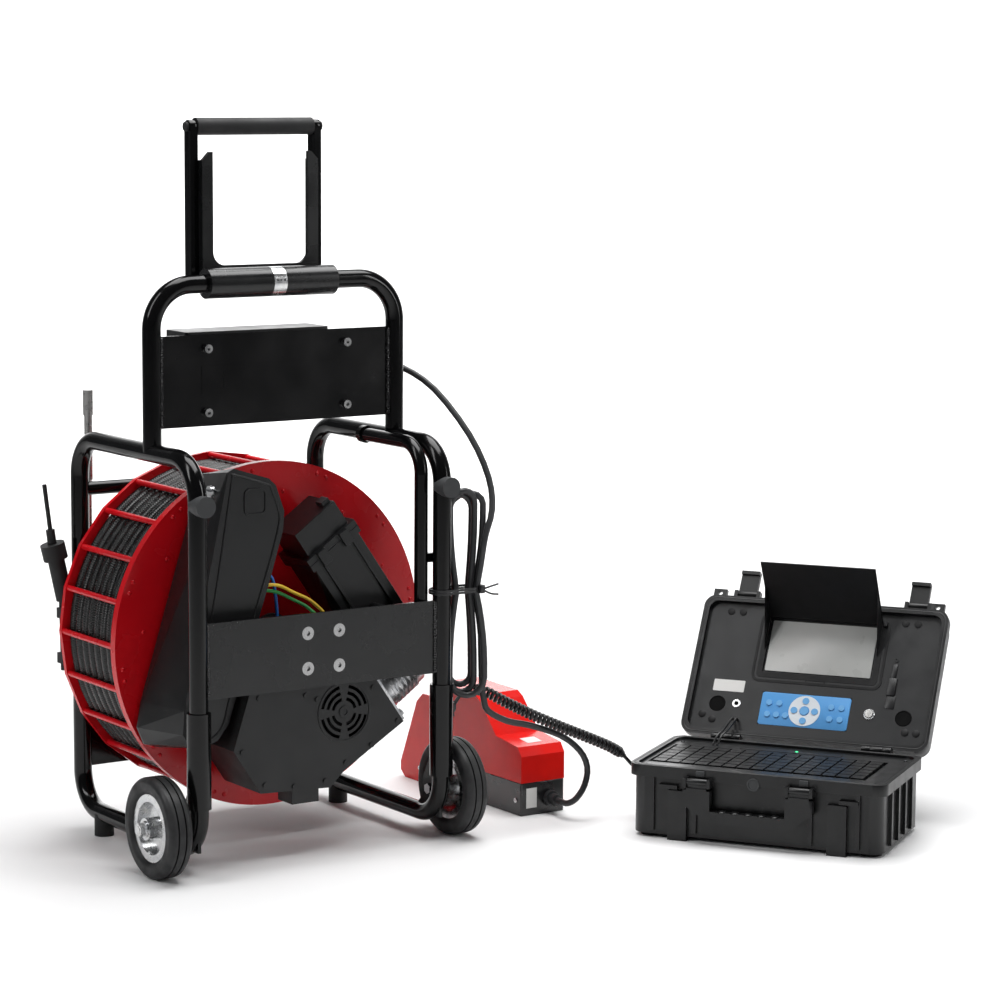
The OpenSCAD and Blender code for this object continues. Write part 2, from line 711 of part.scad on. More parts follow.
module drive_box_cover() color("#2c2d2f") set_down() {
    difference() {
        upright(drive_front_y, drive_wall) polygon(drive_outline);
        translate([fan_x, drive_front_y - 5, fan_z]) rotate([-90, 0, 0])
            for (r = [17, 26.5, 36]) fan_slot(r, 5);
    }
    for (p = screw_places) rod([p.x, drive_front_y - 2.2, p.y], [p.x, drive_front_y, p.y], 4);
}

module fan_rotor() color("#1a1a1a") set_down() translate([fan_x, drive_front_y + 10, fan_z]) rotate([-90, 0, 0]) {
    difference() {
        cylinder(h = 18, r = 15);
        translate([0, 0, -1]) cylinder(h = 20, r = 3 + running_gap);
    }
    for (k = [0 : 6]) rotate([0, 0, 360 * k / 7]) translate([14, 0, 9]) rotate([35, 0, 0])
        block([0, -9, -0.8], [fan_d / 2 - 15, 9, 0.8]);
}

// Drive motor, bolted square to the sloping edge of the drive box
module drive_motor() color("#b4b6b9") set_down()
    translate([motor_at.x, -118, motor_at.y])
    rotate([0, 90 - motor_lean, 0]) {
        block([-44, -38, 0], [44, 38, 9]);
        translate([0, 0, 9]) cylinder(h = 12, r = motor_d / 2 - 4);
        translate([0, 0, 21]) cylinder(h = motor_len - 21, r = motor_d / 2 - 2);
        for (k = [0 : 4]) translate([0, 0, 26 + 9 * k]) cylinder(h = 4, r = motor_d / 2);
        translate([0, 0, motor_len]) cylinder(h = 10, r = motor_d / 2 - 8);
        for (x = [-36, 36], y = [-30, 30]) translate([x, y, 9]) cylinder(h = 5, r = 6, $fn = 6);
    }

wire_routes = [
    [[-70, -120, 428], [-52, -122, 422], [-46, -124, 402], [-44, -128, 360], [-44, -130, 300], [-44, -130, 272]],
    [[-74, -134, 412], [-48, -138, 410], [-24, -142, 398], [8, -146, 380], [34, -150, 345], [38, -152, 272]],
    [[-76, -128, 404], [-50, -134, 400], [-26, -140, 388], [2, -145, 371], [27, -150, 338], [30, -152, 272]]
];
module wire_harness() color("#e3c020") set_down() for (route = wire_routes) cord(smooth(route, 3), 2.6);

// ---------------------------------------------------------------- camera and guide at the rear

hose_y = post_y;
module guide_hose() color("#1a1a1a") set_down() {
    rod([-270, hose_y, 540], [-261, hose_y, 470], 3.5);
    rod([-261, hose_y, 470], [-258, hose_y, 448], 7);
    rod([-258, hose_y, 448], [-252, hose_y, 424], 19);
    rod([-252, hose_y, 424], [-238, hose_y, 360], 13);
    rod([-238, hose_y, 360], [-236, hose_y, 250], 9);
    for (z = [270, 340]) difference() {
        block([-half_w - 40, hose_y - 16, z - 8], [-half_w, hose_y + 4, z + 8]);
        rear_posts();
    }
}

socket_at = [246, -165, 200];
camera_x = -185;
camera_y = post_y + crossbar_d / 2 + 8;
module camera_head() color("#b7b9bb") set_down() {
    rod([camera_x, camera_y, 640], [camera_x, camera_y, 679], 8);
    rod([camera_x, camera_y, 540], [camera_x, camera_y, 640], 6.5);
    rod([camera_x, camera_y, 120], [camera_x, camera_y, 540], 4.5);
    difference() {
        block([camera_x - 9, post_y, crossbar_z - 9], [camera_x + 9, camera_y + 7, crossbar_z + 9]);
        rod([-half_w, post_y, crossbar_z], [half_w, post_y, crossbar_z], crossbar_d / 2);
    }
    block([camera_x - 9, post_y + plate_t / 2, 140], [camera_x + 9, camera_y + 7, 156]);
}

// Plugs of the monitor lead in their sockets: on the right front post, and on the case's left wall
module cable_sockets() color("#2a2a2b") set_down() {
    difference() {
        block([half_w + 4, -post_y, socket_at.z - 11], [socket_at.x - 12, socket_at.y + 10, socket_at.z + 11]);
        front_posts();
        translate([half_w, -post_y, sleeve_low_z]) cylinder(h = sleeve_h, r = sleeve_d / 2);
    }
    rod([socket_at.x - 12, socket_at.y, socket_at.z], socket_at, 9);
    at_case() {
        rod([rim_lip - 6, case_socket.x, case_socket.y], [rim_lip, case_socket.x, case_socket.y], 15);
        rod([rim_lip - 40, case_socket.x, case_socket.y], [rim_lip - 6, case_socket.x, case_socket.y], 10);
    }
}

// ---------------------------------------------------------------- foot pedal

hood_side = [
    [hood_front_y, 53], [hood_front_y, 96], [-122, 110], [-60, 118], [-15, 166], [0, 174], [118, 176],
    [130, 172], [174, 135], [223, 25], [223, 11], [210, 0], [body_rear_y, 0], [body_rear_y, 53]
];
hood_inside = [
    [hood_front_y + hood_wall, 50], [hood_front_y + hood_wall, 95], [-121, 107], [-58, 115],
    [-13, 162], [2, 170], [240, 172], [240, -1], [body_rear_y - 10, -1], [body_rear_y - 10, 50]
];
module pedal_hood() color("#b3141b") set_down() difference() {
    side_plate(pedal_mid_x - pedal_w / 2, pedal_w) polygon(hood_side);
    side_plate(pedal_mid_x - pedal_w / 2 + hood_wall, pedal_w - 2 * hood_wall) polygon(hood_inside);
    block([0, 131, 150], [600, 300, 200]);
}

pedal_inner = pedal_w - 2 * hood_wall;
module pedal_base() color("#1b1b1c") set_down() difference() {
    translate([pedal_mid_x, 0, 0]) {
        block([-pedal_inner / 2, hood_front_y, 0], [pedal_inner / 2, body_rear_y, 53]);
        block([-pedal_w / 2, hood_front_y, 0], [pedal_w / 2, body_rear_y, 53]);
        block([-pedal_inner / 2, body_rear_y, 0], [pedal_inner / 2, 200, 10]);
        for (s = [-1, 1]) translate([s * (pedal_inner / 2 - 4), 0, 0])
            block([-4, pedal_pin_y - 10, 10], [4, pedal_pin_y + 10, pedal_pin_z + 10]);
    }
    rod([0, pedal_pin_y, pedal_pin_z], [600, pedal_pin_y, pedal_pin_z], treadle_pin_d / 2);
}

module pedal_treadle() color("#242425") set_down() translate([pedal_mid_x, pedal_pin_y, pedal_pin_z]) {
    half = pedal_inner / 2 - 9;
    rod([-half, 0, 0], [half, 0, 0], 9);
    block([-half, 0, -4], [half, treadle_len, 4]);
    for (y = [30 : 14 : treadle_len - 10]) block([-half + 4, y, 4], [half - 4, y + 6, 6]);
    rod([-half - 8, 0, 0], [half + 8, 0, 0], treadle_pin_d / 2 - running_gap);
}

module pedal_gland() color("#111111") set_down() {
    rod([453, hood_front_y - 8, 24], [453, hood_front_y, 24], 13);
    rod([453, hood_front_y - 20, 24], [453, hood_front_y - 8, 24], 9);
}

// ---------------------------------------------------------------- monitor case

module at_case() translate([case_corner.x, case_corner.y, 0]) rotate([0, 0, case_turn]) children();

module at_lid() translate([0, case_depth + hinge_back, case_h]) rotate([lid_lean, 0, 0]) children();

module hinge_places() for (a = [80, case_w - 80]) translate([a, 0, 0]) children();

module case_base() color("#151516") set_down() at_case() {
    difference() {
        union() {
            rounded_plate([rim_lip, rim_lip], [case_w - rim_lip, case_depth - rim_lip], corner_r, 6, case_h - 6);
            rounded_plate([0, 0], [case_w, case_depth], corner_r, case_h - 18, 18);
        }
        rounded_plate([rim_lip + case_wall, rim_lip + case_wall],
                      [case_w - rim_lip - case_wall, case_depth - rim_lip - case_wall],
                      corner_r - case_wall, 6 + case_wall, case_h);
    }
    for (x = [28, case_w - 28], y = [32, case_depth - 32]) translate([x, y, 0]) cylinder(h = 6, r = 16);
    for (x = [rim_lip + case_wall, case_w - rim_lip - case_wall - 8])
        block([x, 60, deck_z - deck_t - 8], [x + 8, case_depth - 60, deck_z - deck_t]);
    for (a = [40, 108, 292, 366]) block([a - 3, 1, 12], [a + 3, rim_lip, case_h - 18]);
    for (b = [50, 90, 130, 170]) block([case_w - rim_lip, b - 3, 12], [case_w - 1, b + 3, case_h - 18]);
    hinge_places() difference() {
        union() {
            rod([-10, case_depth + hinge_back, case_h], [10, case_depth + hinge_back, case_h], 5.5);
            block([-10, case_depth - 1, case_h - 18], [10, case_depth + hinge_back, case_h - 4]);
        }
        rod([-11, case_depth + hinge_back, case_h], [11, case_depth + hinge_back, case_h], hinge_pin_d / 2);
    }
    for (a = latch_at) block([a - 15, -2, case_h - 34], [a + 15, rim_lip, case_h - 28]);
    for (a = [66, 319]) block([a, -2, 0], [a + 30, rim_lip + 2, case_h - 36]);
    for (a = [case_grip_low.x, case_grip_high.x - arm_w], x = [0, arm_w - 5]) difference() {
        block([a + x, -14, case_grip_high.y - 8], [a + x + 5, rim_lip, case_grip_high.y + 6]);
        grip_pin(3);
    }
}

deck_low = rim_lip + case_wall;
module keyboard_deck() color("#1a1b1c") set_down() at_case() difference() {
    rounded_plate([deck_low, deck_low], [case_w - deck_low, case_depth - deck_low],
                  corner_r - case_wall, deck_z - deck_t, deck_t);
    block([keys_low.x - 5, keys_low.y - 5, deck_z - 5],
          [keys_low.x + key_cols * key_pitch + 4, keys_low.y + key_rows * row_pitch + 4, deck_z + 1]);
    key_places() translate([0, 0, deck_z - deck_t - 1]) cylinder(h = deck_t, r = 2 + clear, $fn = 24);
}

module key_places() for (c = [0 : key_cols - 1], r = [0 : key_rows - 1])
    translate([keys_low.x + (c + 0.5) * key_pitch - 0.5, keys_low.y + (r + 0.5) * row_pitch, 0]) children();

module keyboard_keys() color("#101011") set_down() at_case() key_places() {
    block([-9.8, -9, deck_z - 2.6], [9.8, 9, deck_z + 1]);
    translate([0, 0, deck_z - deck_t + 2]) cylinder(h = deck_t - 4, r = 2, $fn = 24);
}

lid_high = case_depth + hinge_back + lid_over;
module case_lid() color("#151516") set_down() at_case() at_lid() {
    difference() {
        union() {
            rounded_plate([rim_lip, lid_low + rim_lip], [case_w - rim_lip, lid_high - rim_lip], corner_r, -lid_depth, lid_depth);
            rounded_plate([0, lid_low], [case_w, lid_high], corner_r, -16, 16 - clear);
        }
        rounded_plate([rim_lip + case_wall, lid_low + rim_lip + case_wall],
                      [case_w - rim_lip - case_wall, lid_high - rim_lip - case_wall],
                      corner_r - case_wall, case_wall - lid_depth, lid_depth);
        hinge_places() rod([-10 - clear, 0, 0], [10 + clear, 0, 0], 5.5 + clear);
    }
    for (a = [80, case_w - 80], s = [-1, 1]) difference() {
        union() {
            rod([a + s * 10.3, 0, 0], [a + s * 24, 0, 0], 5.5);
            translate([a + s * 17.15, 0, 0]) block([-6.85, 0, -14], [6.85, lid_low + 3, -clear]);
        }
    }
    hinge_places() rod([-11, 0, 0], [11, 0, 0], hinge_pin_d / 2 - running_gap);
    for (a = latch_at, s = [-1, 1]) difference() {
        block([a + s * 19 - 3, lid_high - 2, -20], [a + s * 19 + 3, lid_high + 14, -8]);
        rod([a - 30, lid_high + 9, -14], [a + 30, lid_high + 9, -14], 2.5);
    }
    for (a = [22, case_w - 22]) difference() {
        block([a - 11, lid_high - 2, -12], [a + 11, lid_high + 12, -4]);
        translate([a, lid_high + 5, -13]) cylinder(h = 10, r = 4);
    }
}

panel_low = lid_low + rim_lip + case_wall;
panel_high = lid_high - rim_lip - case_wall;
screen_mid = [207, 168];
keypad_low = [124, 30];
keypad_high = [272, 87];
power_at = [304, 62];
module monitor_panel() color("#1d1e20") set_down() at_case() at_lid() {
    difference() {
        rounded_plate([deck_low, panel_low], [case_w - deck_low, panel_high], corner_r - case_wall, panel_z - 5, 5);
        translate([screen_mid.x, screen_mid.y, panel_z - 3])
            block([-screen_w / 2, -screen_h / 2, 0], [screen_w / 2, screen_h / 2, 5]);
        block([keypad_low.x, keypad_low.y, panel_z - 2], [keypad_high.x, keypad_high.y, panel_z + 5]);
        translate([power_at.x, power_at.y, panel_z - 6]) cylinder(h = 8, r = 6 + clear);
        for (p = keypad_buttons_at) translate([p.x, p.y, panel_z - 6]) cylinder(h = 8, r = p.z - 1.5 + clear, $fn = 32);
        for (a = [52, 360]) translate([a, 60, panel_z - 3]) cylinder(h = 5, r = 11);
    }
    translate([screen_mid.x, screen_mid.y, panel_z - 3])
        block([-screen_w / 2 + 3, -screen_h / 2 + 3, 0], [screen_w / 2 - 3, screen_h / 2 - 3, 1.2]);
    for (s = [-1, 1]) block([screen_mid.x + s * (screen_w / 2 + 8) - 3, shade_hinge_t - 4, panel_z - 1],
                            [screen_mid.x + s * (screen_w / 2 + 8) + 3, shade_hinge_t + 4, panel_z + 4]);
}

// Sunshade flap, hinged above the screen and swung up when the case is open
module sunshade() color("#0d0d0e") set_down() at_case() at_lid()
    translate([screen_mid.x, shade_hinge_t, panel_z + 2]) rotate([180 - shade_open, 0, 0]) {
        rod([-screen_w / 2 - 4, 0, 0], [screen_w / 2 + 4, 0, 0], 1.6);
        block([-screen_w / 2 - 4, 0, -1], [screen_w / 2 + 4, shade_len, 1]);
    }

// Centres and radii of the keypad's buttons: a ring of four arrows, then two side groups
keypad_mid = (keypad_low + keypad_high) / 2;
keypad_buttons_at = concat(
    [[keypad_mid.x, keypad_mid.y, 7]],
    [for (k = [0 : 3]) [keypad_mid.x + 17 * cos(90 * k), keypad_mid.y + 17 * sin(90 * k), 5.5]],
    [for (k = [0 : 2]) [keypad_low.x + 14 + 15 * k, keypad_mid.y - 10, 5]],
    [[keypad_low.x + 14, keypad_mid.y + 10, 5], [keypad_low.x + 31, keypad_mid.y + 10, 5]],
    [for (k = [0 : 1], j = [0 : 1]) [keypad_high.x - 14 - 17 * k, keypad_mid.y - 10 + 20 * j, 5]]
);
module keypad_buttons() color("#4a90c8") set_down() at_case() at_lid() for (p = keypad_buttons_at)
    translate([p.x, p.y, 0]) {
        translate([0, 0, panel_z - 0.7]) cylinder(h = 2.4, r = p.z, $fn = 32);
        translate([0, 0, panel_z - 4]) cylinder(h = 4, r = p.z - 1.5, $fn = 32);
    }

module power_button() color("#c8cacc") set_down() at_case() at_lid() translate([power_at.x, power_at.y, 0]) {
    translate([0, 0, panel_z - 4]) cylinder(h = 7, r = 6);
}

module case_latch(a) color("#1a1a1b") set_down() at_case() at_lid() translate([a, lid_high + 9, -14]) {
    rod([-22, 0, 0], [22, 0, 0], 2.5 - running_gap);
    rod([-15.5, 0, 0], [15.5, 0, 0], 5);
    block([-15.5, 0, -5], [15.5, 40, 3]);
    block([-15.5, 34, 3], [15.5, 40, 7]);
}

module latch_left() case_latch(latch_at[0]);

module latch_right() case_latch(latch_at[1]);

module grip_pin(r) rod([case_grip_low.x, -8, case_grip_high.y], [case_grip_high.x, -8, case_grip_high.y], r);

// Folding handle with two wide arms, hanging on its pin in front of the case
module case_handle() color("#141415") set_down() at_case() {
    low = case_grip_low;
    high = case_grip_high;
    difference() {
        upright(-14, 12) polygon([
            [low.x, high.y - 9], [low.x, low.y + 26], [low.x + 42, low.y], [high.x - 37, low.y],
            [high.x, low.y + 26], [high.x, high.y - 9], [high.x - arm_w, high.y - 9],
            [high.x - arm_w, low.y + 18], [low.x + arm_w, low.y + 18], [low.x + arm_w, high.y - 9]
        ]);
        for (a = [low.x, high.x - arm_w], x = [0, arm_w - 5])
            block([a + x - clear, -15, high.y - 12], [a + x + 5 + clear, 0, high.y]);
    }
    for (a = [low.x, high.x - arm_w]) {
        rod([a + 5 + clear, -8, high.y], [a + arm_w - 5 - clear, -8, high.y], 5.5);
        block([a + 5 + clear, -12, high.y - 10], [a + arm_w - 5 - clear, -4, high.y]);
        rod([a, -8, high.y], [a + arm_w, -8, high.y], 3 - running_gap);
    }
}

// ---------------------------------------------------------------- cords

module pedal_cord_upper() color("#1a1a1a") set_down() cord(smooth(cord_upper_route, 4), pedal_cord_d / 2);

module pedal_cord_lower() color("#1a1a1a") set_down() cord(smooth(cord_lower_route, 3), pedal_cord_d / 2);

module pedal_cord_hank() color("#1f1f1f") set_down()
    translate(hank_mid) rotate([0, 0, hank_turn])
        upright(-hank_t / 2, hank_t) rounded_square(hank_w, hank_h, hank_w / 2 - 0.1);

module curly_cord() color("#151515") set_down() cord(smooth(curly_route, 4), curly_d / 2, 12);

side_frame_left();
side_frame_right();
rear_frame_bars();
front_plate();
frame_bolts();
post_sleeves();
wheel_brackets();
wheel_axles();
rubber_feet();
post_buffers();
upper_hoop();
upper_panel();
control_box();
cable_conduit();
reel_spindle();
drum_flange();
drum_cage();
drum_barrel();
drum_hub();
wound_cable();
tyre_left();
rim_left();
tyre_right();
rim_right();
handle_sleeve();
handle_bracket();
handle_bars();
handle_grip();
clamp_collar();
battery_cover();
cover_knob();
battery_case();
battery_lid();
drive_box();
drive_box_cover();
fan_rotor();
drive_motor();
wire_harness();
guide_hose();
camera_head();
cable_sockets();
pedal_base();
pedal_hood();
pedal_treadle();
pedal_gland();
case_base();
keyboard_deck();
keyboard_keys();
case_lid();
monitor_panel();
sunshade();
keypad_buttons();
power_button();
latch_left();
latch_right();
case_handle();
pedal_cord_upper();
pedal_cord_hank();
pedal_cord_lower();
curly_cord();
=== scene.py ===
"""Looks of the pipe inspection camera: materials, cords, fine detail, light and camera.

Lengths in the calls below are millimetres in the cart frame of the CAD: the origin is on the floor
under the middle of the wheeled frame, +X right, +Y rear, +Z up. Each place matrix turns them into metres.
"""
import json
import math
import random

import bmesh
import bpy
from mathutils import Matrix, Vector

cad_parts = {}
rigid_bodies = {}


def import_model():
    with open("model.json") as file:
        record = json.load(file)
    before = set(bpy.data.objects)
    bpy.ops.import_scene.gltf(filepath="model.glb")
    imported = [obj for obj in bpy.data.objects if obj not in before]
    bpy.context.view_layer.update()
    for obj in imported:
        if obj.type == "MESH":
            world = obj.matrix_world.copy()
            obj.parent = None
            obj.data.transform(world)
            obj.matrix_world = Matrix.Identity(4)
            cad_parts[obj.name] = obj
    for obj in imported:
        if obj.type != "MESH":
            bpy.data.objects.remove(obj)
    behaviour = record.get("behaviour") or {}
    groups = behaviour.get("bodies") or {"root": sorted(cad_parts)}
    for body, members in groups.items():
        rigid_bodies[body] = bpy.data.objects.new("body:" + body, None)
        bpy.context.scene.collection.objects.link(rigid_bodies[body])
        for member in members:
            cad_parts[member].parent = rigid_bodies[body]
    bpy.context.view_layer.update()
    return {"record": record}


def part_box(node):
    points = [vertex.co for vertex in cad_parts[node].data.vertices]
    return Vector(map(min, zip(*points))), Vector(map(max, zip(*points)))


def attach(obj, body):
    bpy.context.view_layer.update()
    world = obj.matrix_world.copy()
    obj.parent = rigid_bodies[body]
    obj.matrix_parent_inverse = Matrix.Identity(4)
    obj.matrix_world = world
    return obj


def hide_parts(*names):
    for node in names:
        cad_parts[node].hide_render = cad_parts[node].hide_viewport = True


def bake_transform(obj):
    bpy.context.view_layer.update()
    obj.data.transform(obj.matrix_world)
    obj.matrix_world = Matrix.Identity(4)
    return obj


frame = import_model()
rng = random.Random(7)

# ---------------------------------------------------------------- places

MM = 0.001


def middle(*nodes):
    """Middle of the CAD nodes' common box, in metres."""
    boxes = [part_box(n) for n in nodes]
    low = Vector([min(b[0][k] for b in boxes) for k in range(3)])
    high = Vector([max(b[1][k] for b in boxes) for k in range(3)])
    return (low + high) / 2


SIDE_FRAMES = ("side_frame_left", "side_frame_right")
frame_mid = middle(*SIDE_FRAMES)
CART = Matrix.Translation((frame_mid.x, frame_mid.y, 0)) @ Matrix.Scale(MM, 4)

CASE_CORNER = (465, -322, 0)
CASE_TURN = math.radians(-56)
CASE_W, CASE_DEPTH, CASE_H = 408, 232, 114
HINGE_BACK = 12
LID_LEAN = math.radians(57)
LID_HIGH = 247
CASE = CART @ Matrix.Translation(CASE_CORNER) @ Matrix.Rotation(CASE_TURN, 4, "Z")
LID = CASE @ Matrix.Translation((0, CASE_DEPTH + HINGE_BACK, CASE_H)) @ Matrix.Rotation(LID_LEAN, 4, "X")
PANEL_Z = -8
SHADE_HINGE_T = 218
SHADE_LEN = 112
SCREEN = (207, 168, 182, 95)

HALF_W = 210
POST_Y = 187
TUBE_R = 14
REEL_Z = 317


def span(node, place=CART):
    """Lowest and highest corner of a CAD node in a place's millimetres (only for places that aren't turned)."""
    low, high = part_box(node)
    back = place.inverted()
    return back @ low, back @ high


# ---------------------------------------------------------------- camera

CAMERA_AT = (-2387.5, -4168.8, 1169.4)
CAMERA_YAW, CAMERA_PITCH, CAMERA_ROLL = (math.radians(a) for a in (34.175, -7.710, 0.345))
CAMERA_LENS = 114.17


def make_camera():
    forward = Vector((math.sin(CAMERA_YAW) * math.cos(CAMERA_PITCH),
                      math.cos(CAMERA_YAW) * math.cos(CAMERA_PITCH), math.sin(CAMERA_PITCH)))
    right = Vector((math.cos(CAMERA_YAW), -math.sin(CAMERA_YAW), 0))
    up = right.cross(forward)
    cos_r, sin_r = math.cos(CAMERA_ROLL), math.sin(CAMERA_ROLL)
    right, up = cos_r * right + sin_r * up, cos_r * up - sin_r * right
    data = bpy.data.cameras.new("camera")
    data.lens, data.sensor_width = CAMERA_LENS, 36
    data.clip_start, data.clip_end = 0.1, 50
    camera = bpy.data.objects.new("camera", data)
    turn = Matrix((right, up, -forward)).transposed().to_4x4()
    camera.matrix_world = Matrix.Translation(CART @ Vector(CAMERA_AT)) @ turn
    bpy.context.collection.objects.link(camera)
    bpy.context.scene.camera = camera


make_camera()

# ---------------------------------------------------------------- materials


class Surface:
    """A Principled material with bump, patches and wear worked out from object coordinates."""

    def __init__(self, name, colour, rough, metal=0.0, coat=0.0, specular=0.5):
        self.made = bpy.data.materials.new(name)
        self.made.use_nodes = True
        self.nodes, self.links = self.made.node_tree.nodes, self.made.node_tree.links
        self.shader = self.nodes["Principled BSDF"]
        self.colour, self.rough = colour, rough
        self.shader.inputs["Base Color"].default_value = (*colour, 1)
        self.shader.inputs["Roughness"].default_value = rough
        self.shader.inputs["Metallic"].default_value = metal
        self.shader.inputs["Coat Weight"].default_value = coat
        self.shader.inputs["Coat Roughness"].default_value = 0.06
        self.shader.inputs["Specular IOR Level"].default_value = specular
        self.where = self.nodes.new("ShaderNodeTexCoord").outputs["Object"]
        self.height = None

    def noise(self, size, detail=3.0):
        """Noise with features of that size in millimetres."""
        node = self.nodes.new("ShaderNodeTexNoise")
        node.inputs["Scale"].default_value = 1 / (size * MM)
        node.inputs["Detail"].default_value = detail
        node.inputs["Roughness"].default_value = 0.5
        self.links.new(self.where, node.inputs["Vector"])
        return node.outputs["Fac"]

    def span(self, value, low, high, start=0.3, end=0.7):
        node = self.nodes.new("ShaderNodeMapRange")
        for key, number in zip(("From Min", "From Max", "To Min", "To Max"), (start, end, low, high)):
            node.inputs[key].default_value = number
        self.links.new(value, node.inputs["Value"])
        return node.outputs["Result"]

    def math(self, operation, a, b=None):
        node = self.nodes.new("ShaderNodeMath")
        node.operation = operation
        for socket, value in zip(node.inputs, (a, b)):
            if isinstance(value, (int, float)):
                socket.default_value = value
            elif value is not None:
                self.links.new(value, socket)
        return node.outputs[0]

    def bump(self, value, height):
        """Adds relief of that height in millimetres."""
        node = self.nodes.new("ShaderNodeBump")
        node.inputs["Strength"].default_value = 1
        node.inputs["Distance"].default_value = height * MM
        self.links.new(value, node.inputs["Height"])
        if self.height is not None:
            self.links.new(self.height, node.inputs["Normal"])
        self.height = node.outputs["Normal"]
        self.links.new(self.height, self.shader.inputs["Normal"])
        return self

    def grain(self, size, height, detail=3.0):
        return self.bump(self.noise(size, detail), height)

    def wear(self, size, spread):
        """Roughness that wanders by spread over patches of that size."""
        patches = self.span(self.noise(size, 4), self.rough - spread, self.rough + spread)
        self.links.new(patches, self.shader.inputs["Roughness"])
        return self

    def patches(self, size, other, amount=1.0):
        """A second colour in soft patches of that size."""
        mix = self.nodes.new("ShaderNodeMix")
        mix.data_type = "RGBA"
        mix.inputs["A"].default_value = (*self.colour, 1)
        mix.inputs["B"].default_value = (*other, 1)
        self.links.new(self.span(self.noise(size, 4), 0, amount), mix.inputs["Factor"])
        self.links.new(mix.outputs["Result"], self.shader.inputs["Base Color"])
        return self

    def polar_ribs(self, centre, count, height):
        """Ribs across a cable that is wound round the Y axis through centre."""
        split = self.nodes.new("ShaderNodeSeparateXYZ")
        self.links.new(self.where, split.inputs[0])
        x = self.math("SUBTRACT", split.outputs["X"], centre.x)
        z = self.math("SUBTRACT", split.outputs["Z"], centre.z)
        angle = self.math("MULTIPLY", self.math("ARCTAN2", z, x), count)
        weave = self.math("MULTIPLY", split.outputs["Y"], 900)
        wave = self.math("MULTIPLY", self.math("SINE", angle), self.math("COSINE", weave))
        return self.bump(wave, height)


reel_mid = CART @ Vector((0, 0, REEL_Z))

gloss_black = (Surface("gloss_black", (0.0022, 0.0022, 0.0024), 0.14, specular=0.3)
               .grain(2.2, 0.012).wear(70, 0.05).made)
satin_black = (Surface("satin_black", (0.005, 0.0053, 0.0057), 0.28, coat=0.1, specular=0.4)
               .grain(0.9, 0.012).wear(60, 0.06).made)
panel_black = (Surface("panel_black", (0.003, 0.003, 0.0033), 0.22, specular=0.3)
               .grain(1.1, 0.01).wear(80, 0.06).made)
weld_black = Surface("weld_black", (0.01, 0.01, 0.011), 0.24, coat=0.6).grain(1.2, 0.08).wear(10, 0.08).made
moulded_black = (Surface("moulded_black", (0.007, 0.0073, 0.0078), 0.36, specular=0.4)
                 .grain(0.7, 0.03, 5).wear(40, 0.06).made)
sheet_black = (Surface("sheet_black", (0.009, 0.0093, 0.0098), 0.42, specular=0.4)
               .grain(0.5, 0.02, 5).wear(50, 0.08).made)
zinc = (Surface("zinc", (0.72, 0.72, 0.71), 0.24, metal=1)
        .grain(1.5, 0.02).patches(14, (0.55, 0.56, 0.58)).wear(12, 0.08).made)
dark_steel = Surface("dark_steel", (0.09, 0.092, 0.095), 0.4, metal=1).grain(0.6, 0.02).wear(20, 0.1).made
rubber = Surface("rubber", (0.013, 0.013, 0.0135), 0.62, specular=0.35).grain(0.5, 0.03, 5).wear(30, 0.08).made
tyre_rubber = (Surface("tyre_rubber", (0.009, 0.0093, 0.01), 0.5, specular=0.35)
               .grain(0.8, 0.04, 5).patches(25, (0.028, 0.028, 0.029)).wear(20, 0.1).made)
buffer_grey = Surface("buffer_grey", (0.05, 0.052, 0.054), 0.6, specular=0.3).grain(0.6, 0.03, 5).wear(10, 0.08).made
reel_red = (Surface("reel_red", (0.68, 0.006, 0.012), 0.26, coat=0.08, specular=0.28)
            .grain(3.5, 0.012).patches(160, (0.56, 0.004, 0.01)).wear(90, 0.06).made)
barrel_dark = Surface("barrel_dark", (0.012, 0.012, 0.013), 0.4).grain(1.0, 0.02).wear(50, 0.08).made
push_cable = (Surface("push_cable", (0.003, 0.003, 0.0032), 0.24, specular=0.45)
              .polar_ribs(reel_mid, 420, 0.3).grain(1.0, 0.05).wear(8, 0.08).made)
jacket = Surface("jacket", (0.03, 0.031, 0.033), 0.4, specular=0.45).grain(0.6, 0.015).wear(18, 0.07).made
curly_black = Surface("curly_black", (0.01, 0.01, 0.0105), 0.3).grain(0.6, 0.012).wear(15, 0.06).made
case_black = (Surface("case_black", (0.005, 0.0052, 0.0056), 0.34, specular=0.4)
              .grain(0.55, 0.035, 6).wear(35, 0.06).made)
deck_dark = Surface("deck_dark", (0.008, 0.0083, 0.009), 0.34).grain(0.4, 0.02, 5).wear(30, 0.05).made
monitor_dark = (Surface("monitor_dark", (0.009, 0.0093, 0.0102), 0.38, specular=0.4)
                .grain(0.45, 0.02, 5).wear(30, 0.06).made)
key_black = (Surface("key_black", (0.006, 0.0062, 0.0066), 0.42, specular=0.35)
             .grain(0.5, 0.015, 5).wear(12, 0.06).made)
cast_metal = (Surface("cast_metal", (0.6, 0.6, 0.6), 0.36, metal=1)
              .grain(1.2, 0.12, 6).patches(9, (0.4, 0.41, 0.43)).wear(9, 0.12).made)
turned_steel = Surface("turned_steel", (0.55, 0.545, 0.53), 0.3, metal=1).grain(0.5, 0.02).wear(9, 0.08).made
pedal_red = (Surface("pedal_red", (0.78, 0.012, 0.008), 0.2, coat=0.06, specular=0.3)
             .grain(4.2, 0.16, 2).patches(60, (0.62, 0.01, 0.008)).wear(30, 0.05).made)
pedal_black = Surface("pedal_black", (0.008, 0.008, 0.009), 0.3, coat=0.4).grain(3.0, 0.06, 2).wear(30, 0.06).made
label_white = Surface("label_white", (0.72, 0.72, 0.7), 0.5).grain(0.6, 0.006).wear(8, 0.05).made
keypad_blue = Surface("keypad_blue", (0.1, 0.36, 0.75), 0.5, specular=0.3).grain(0.5, 0.01).wear(9, 0.05).made
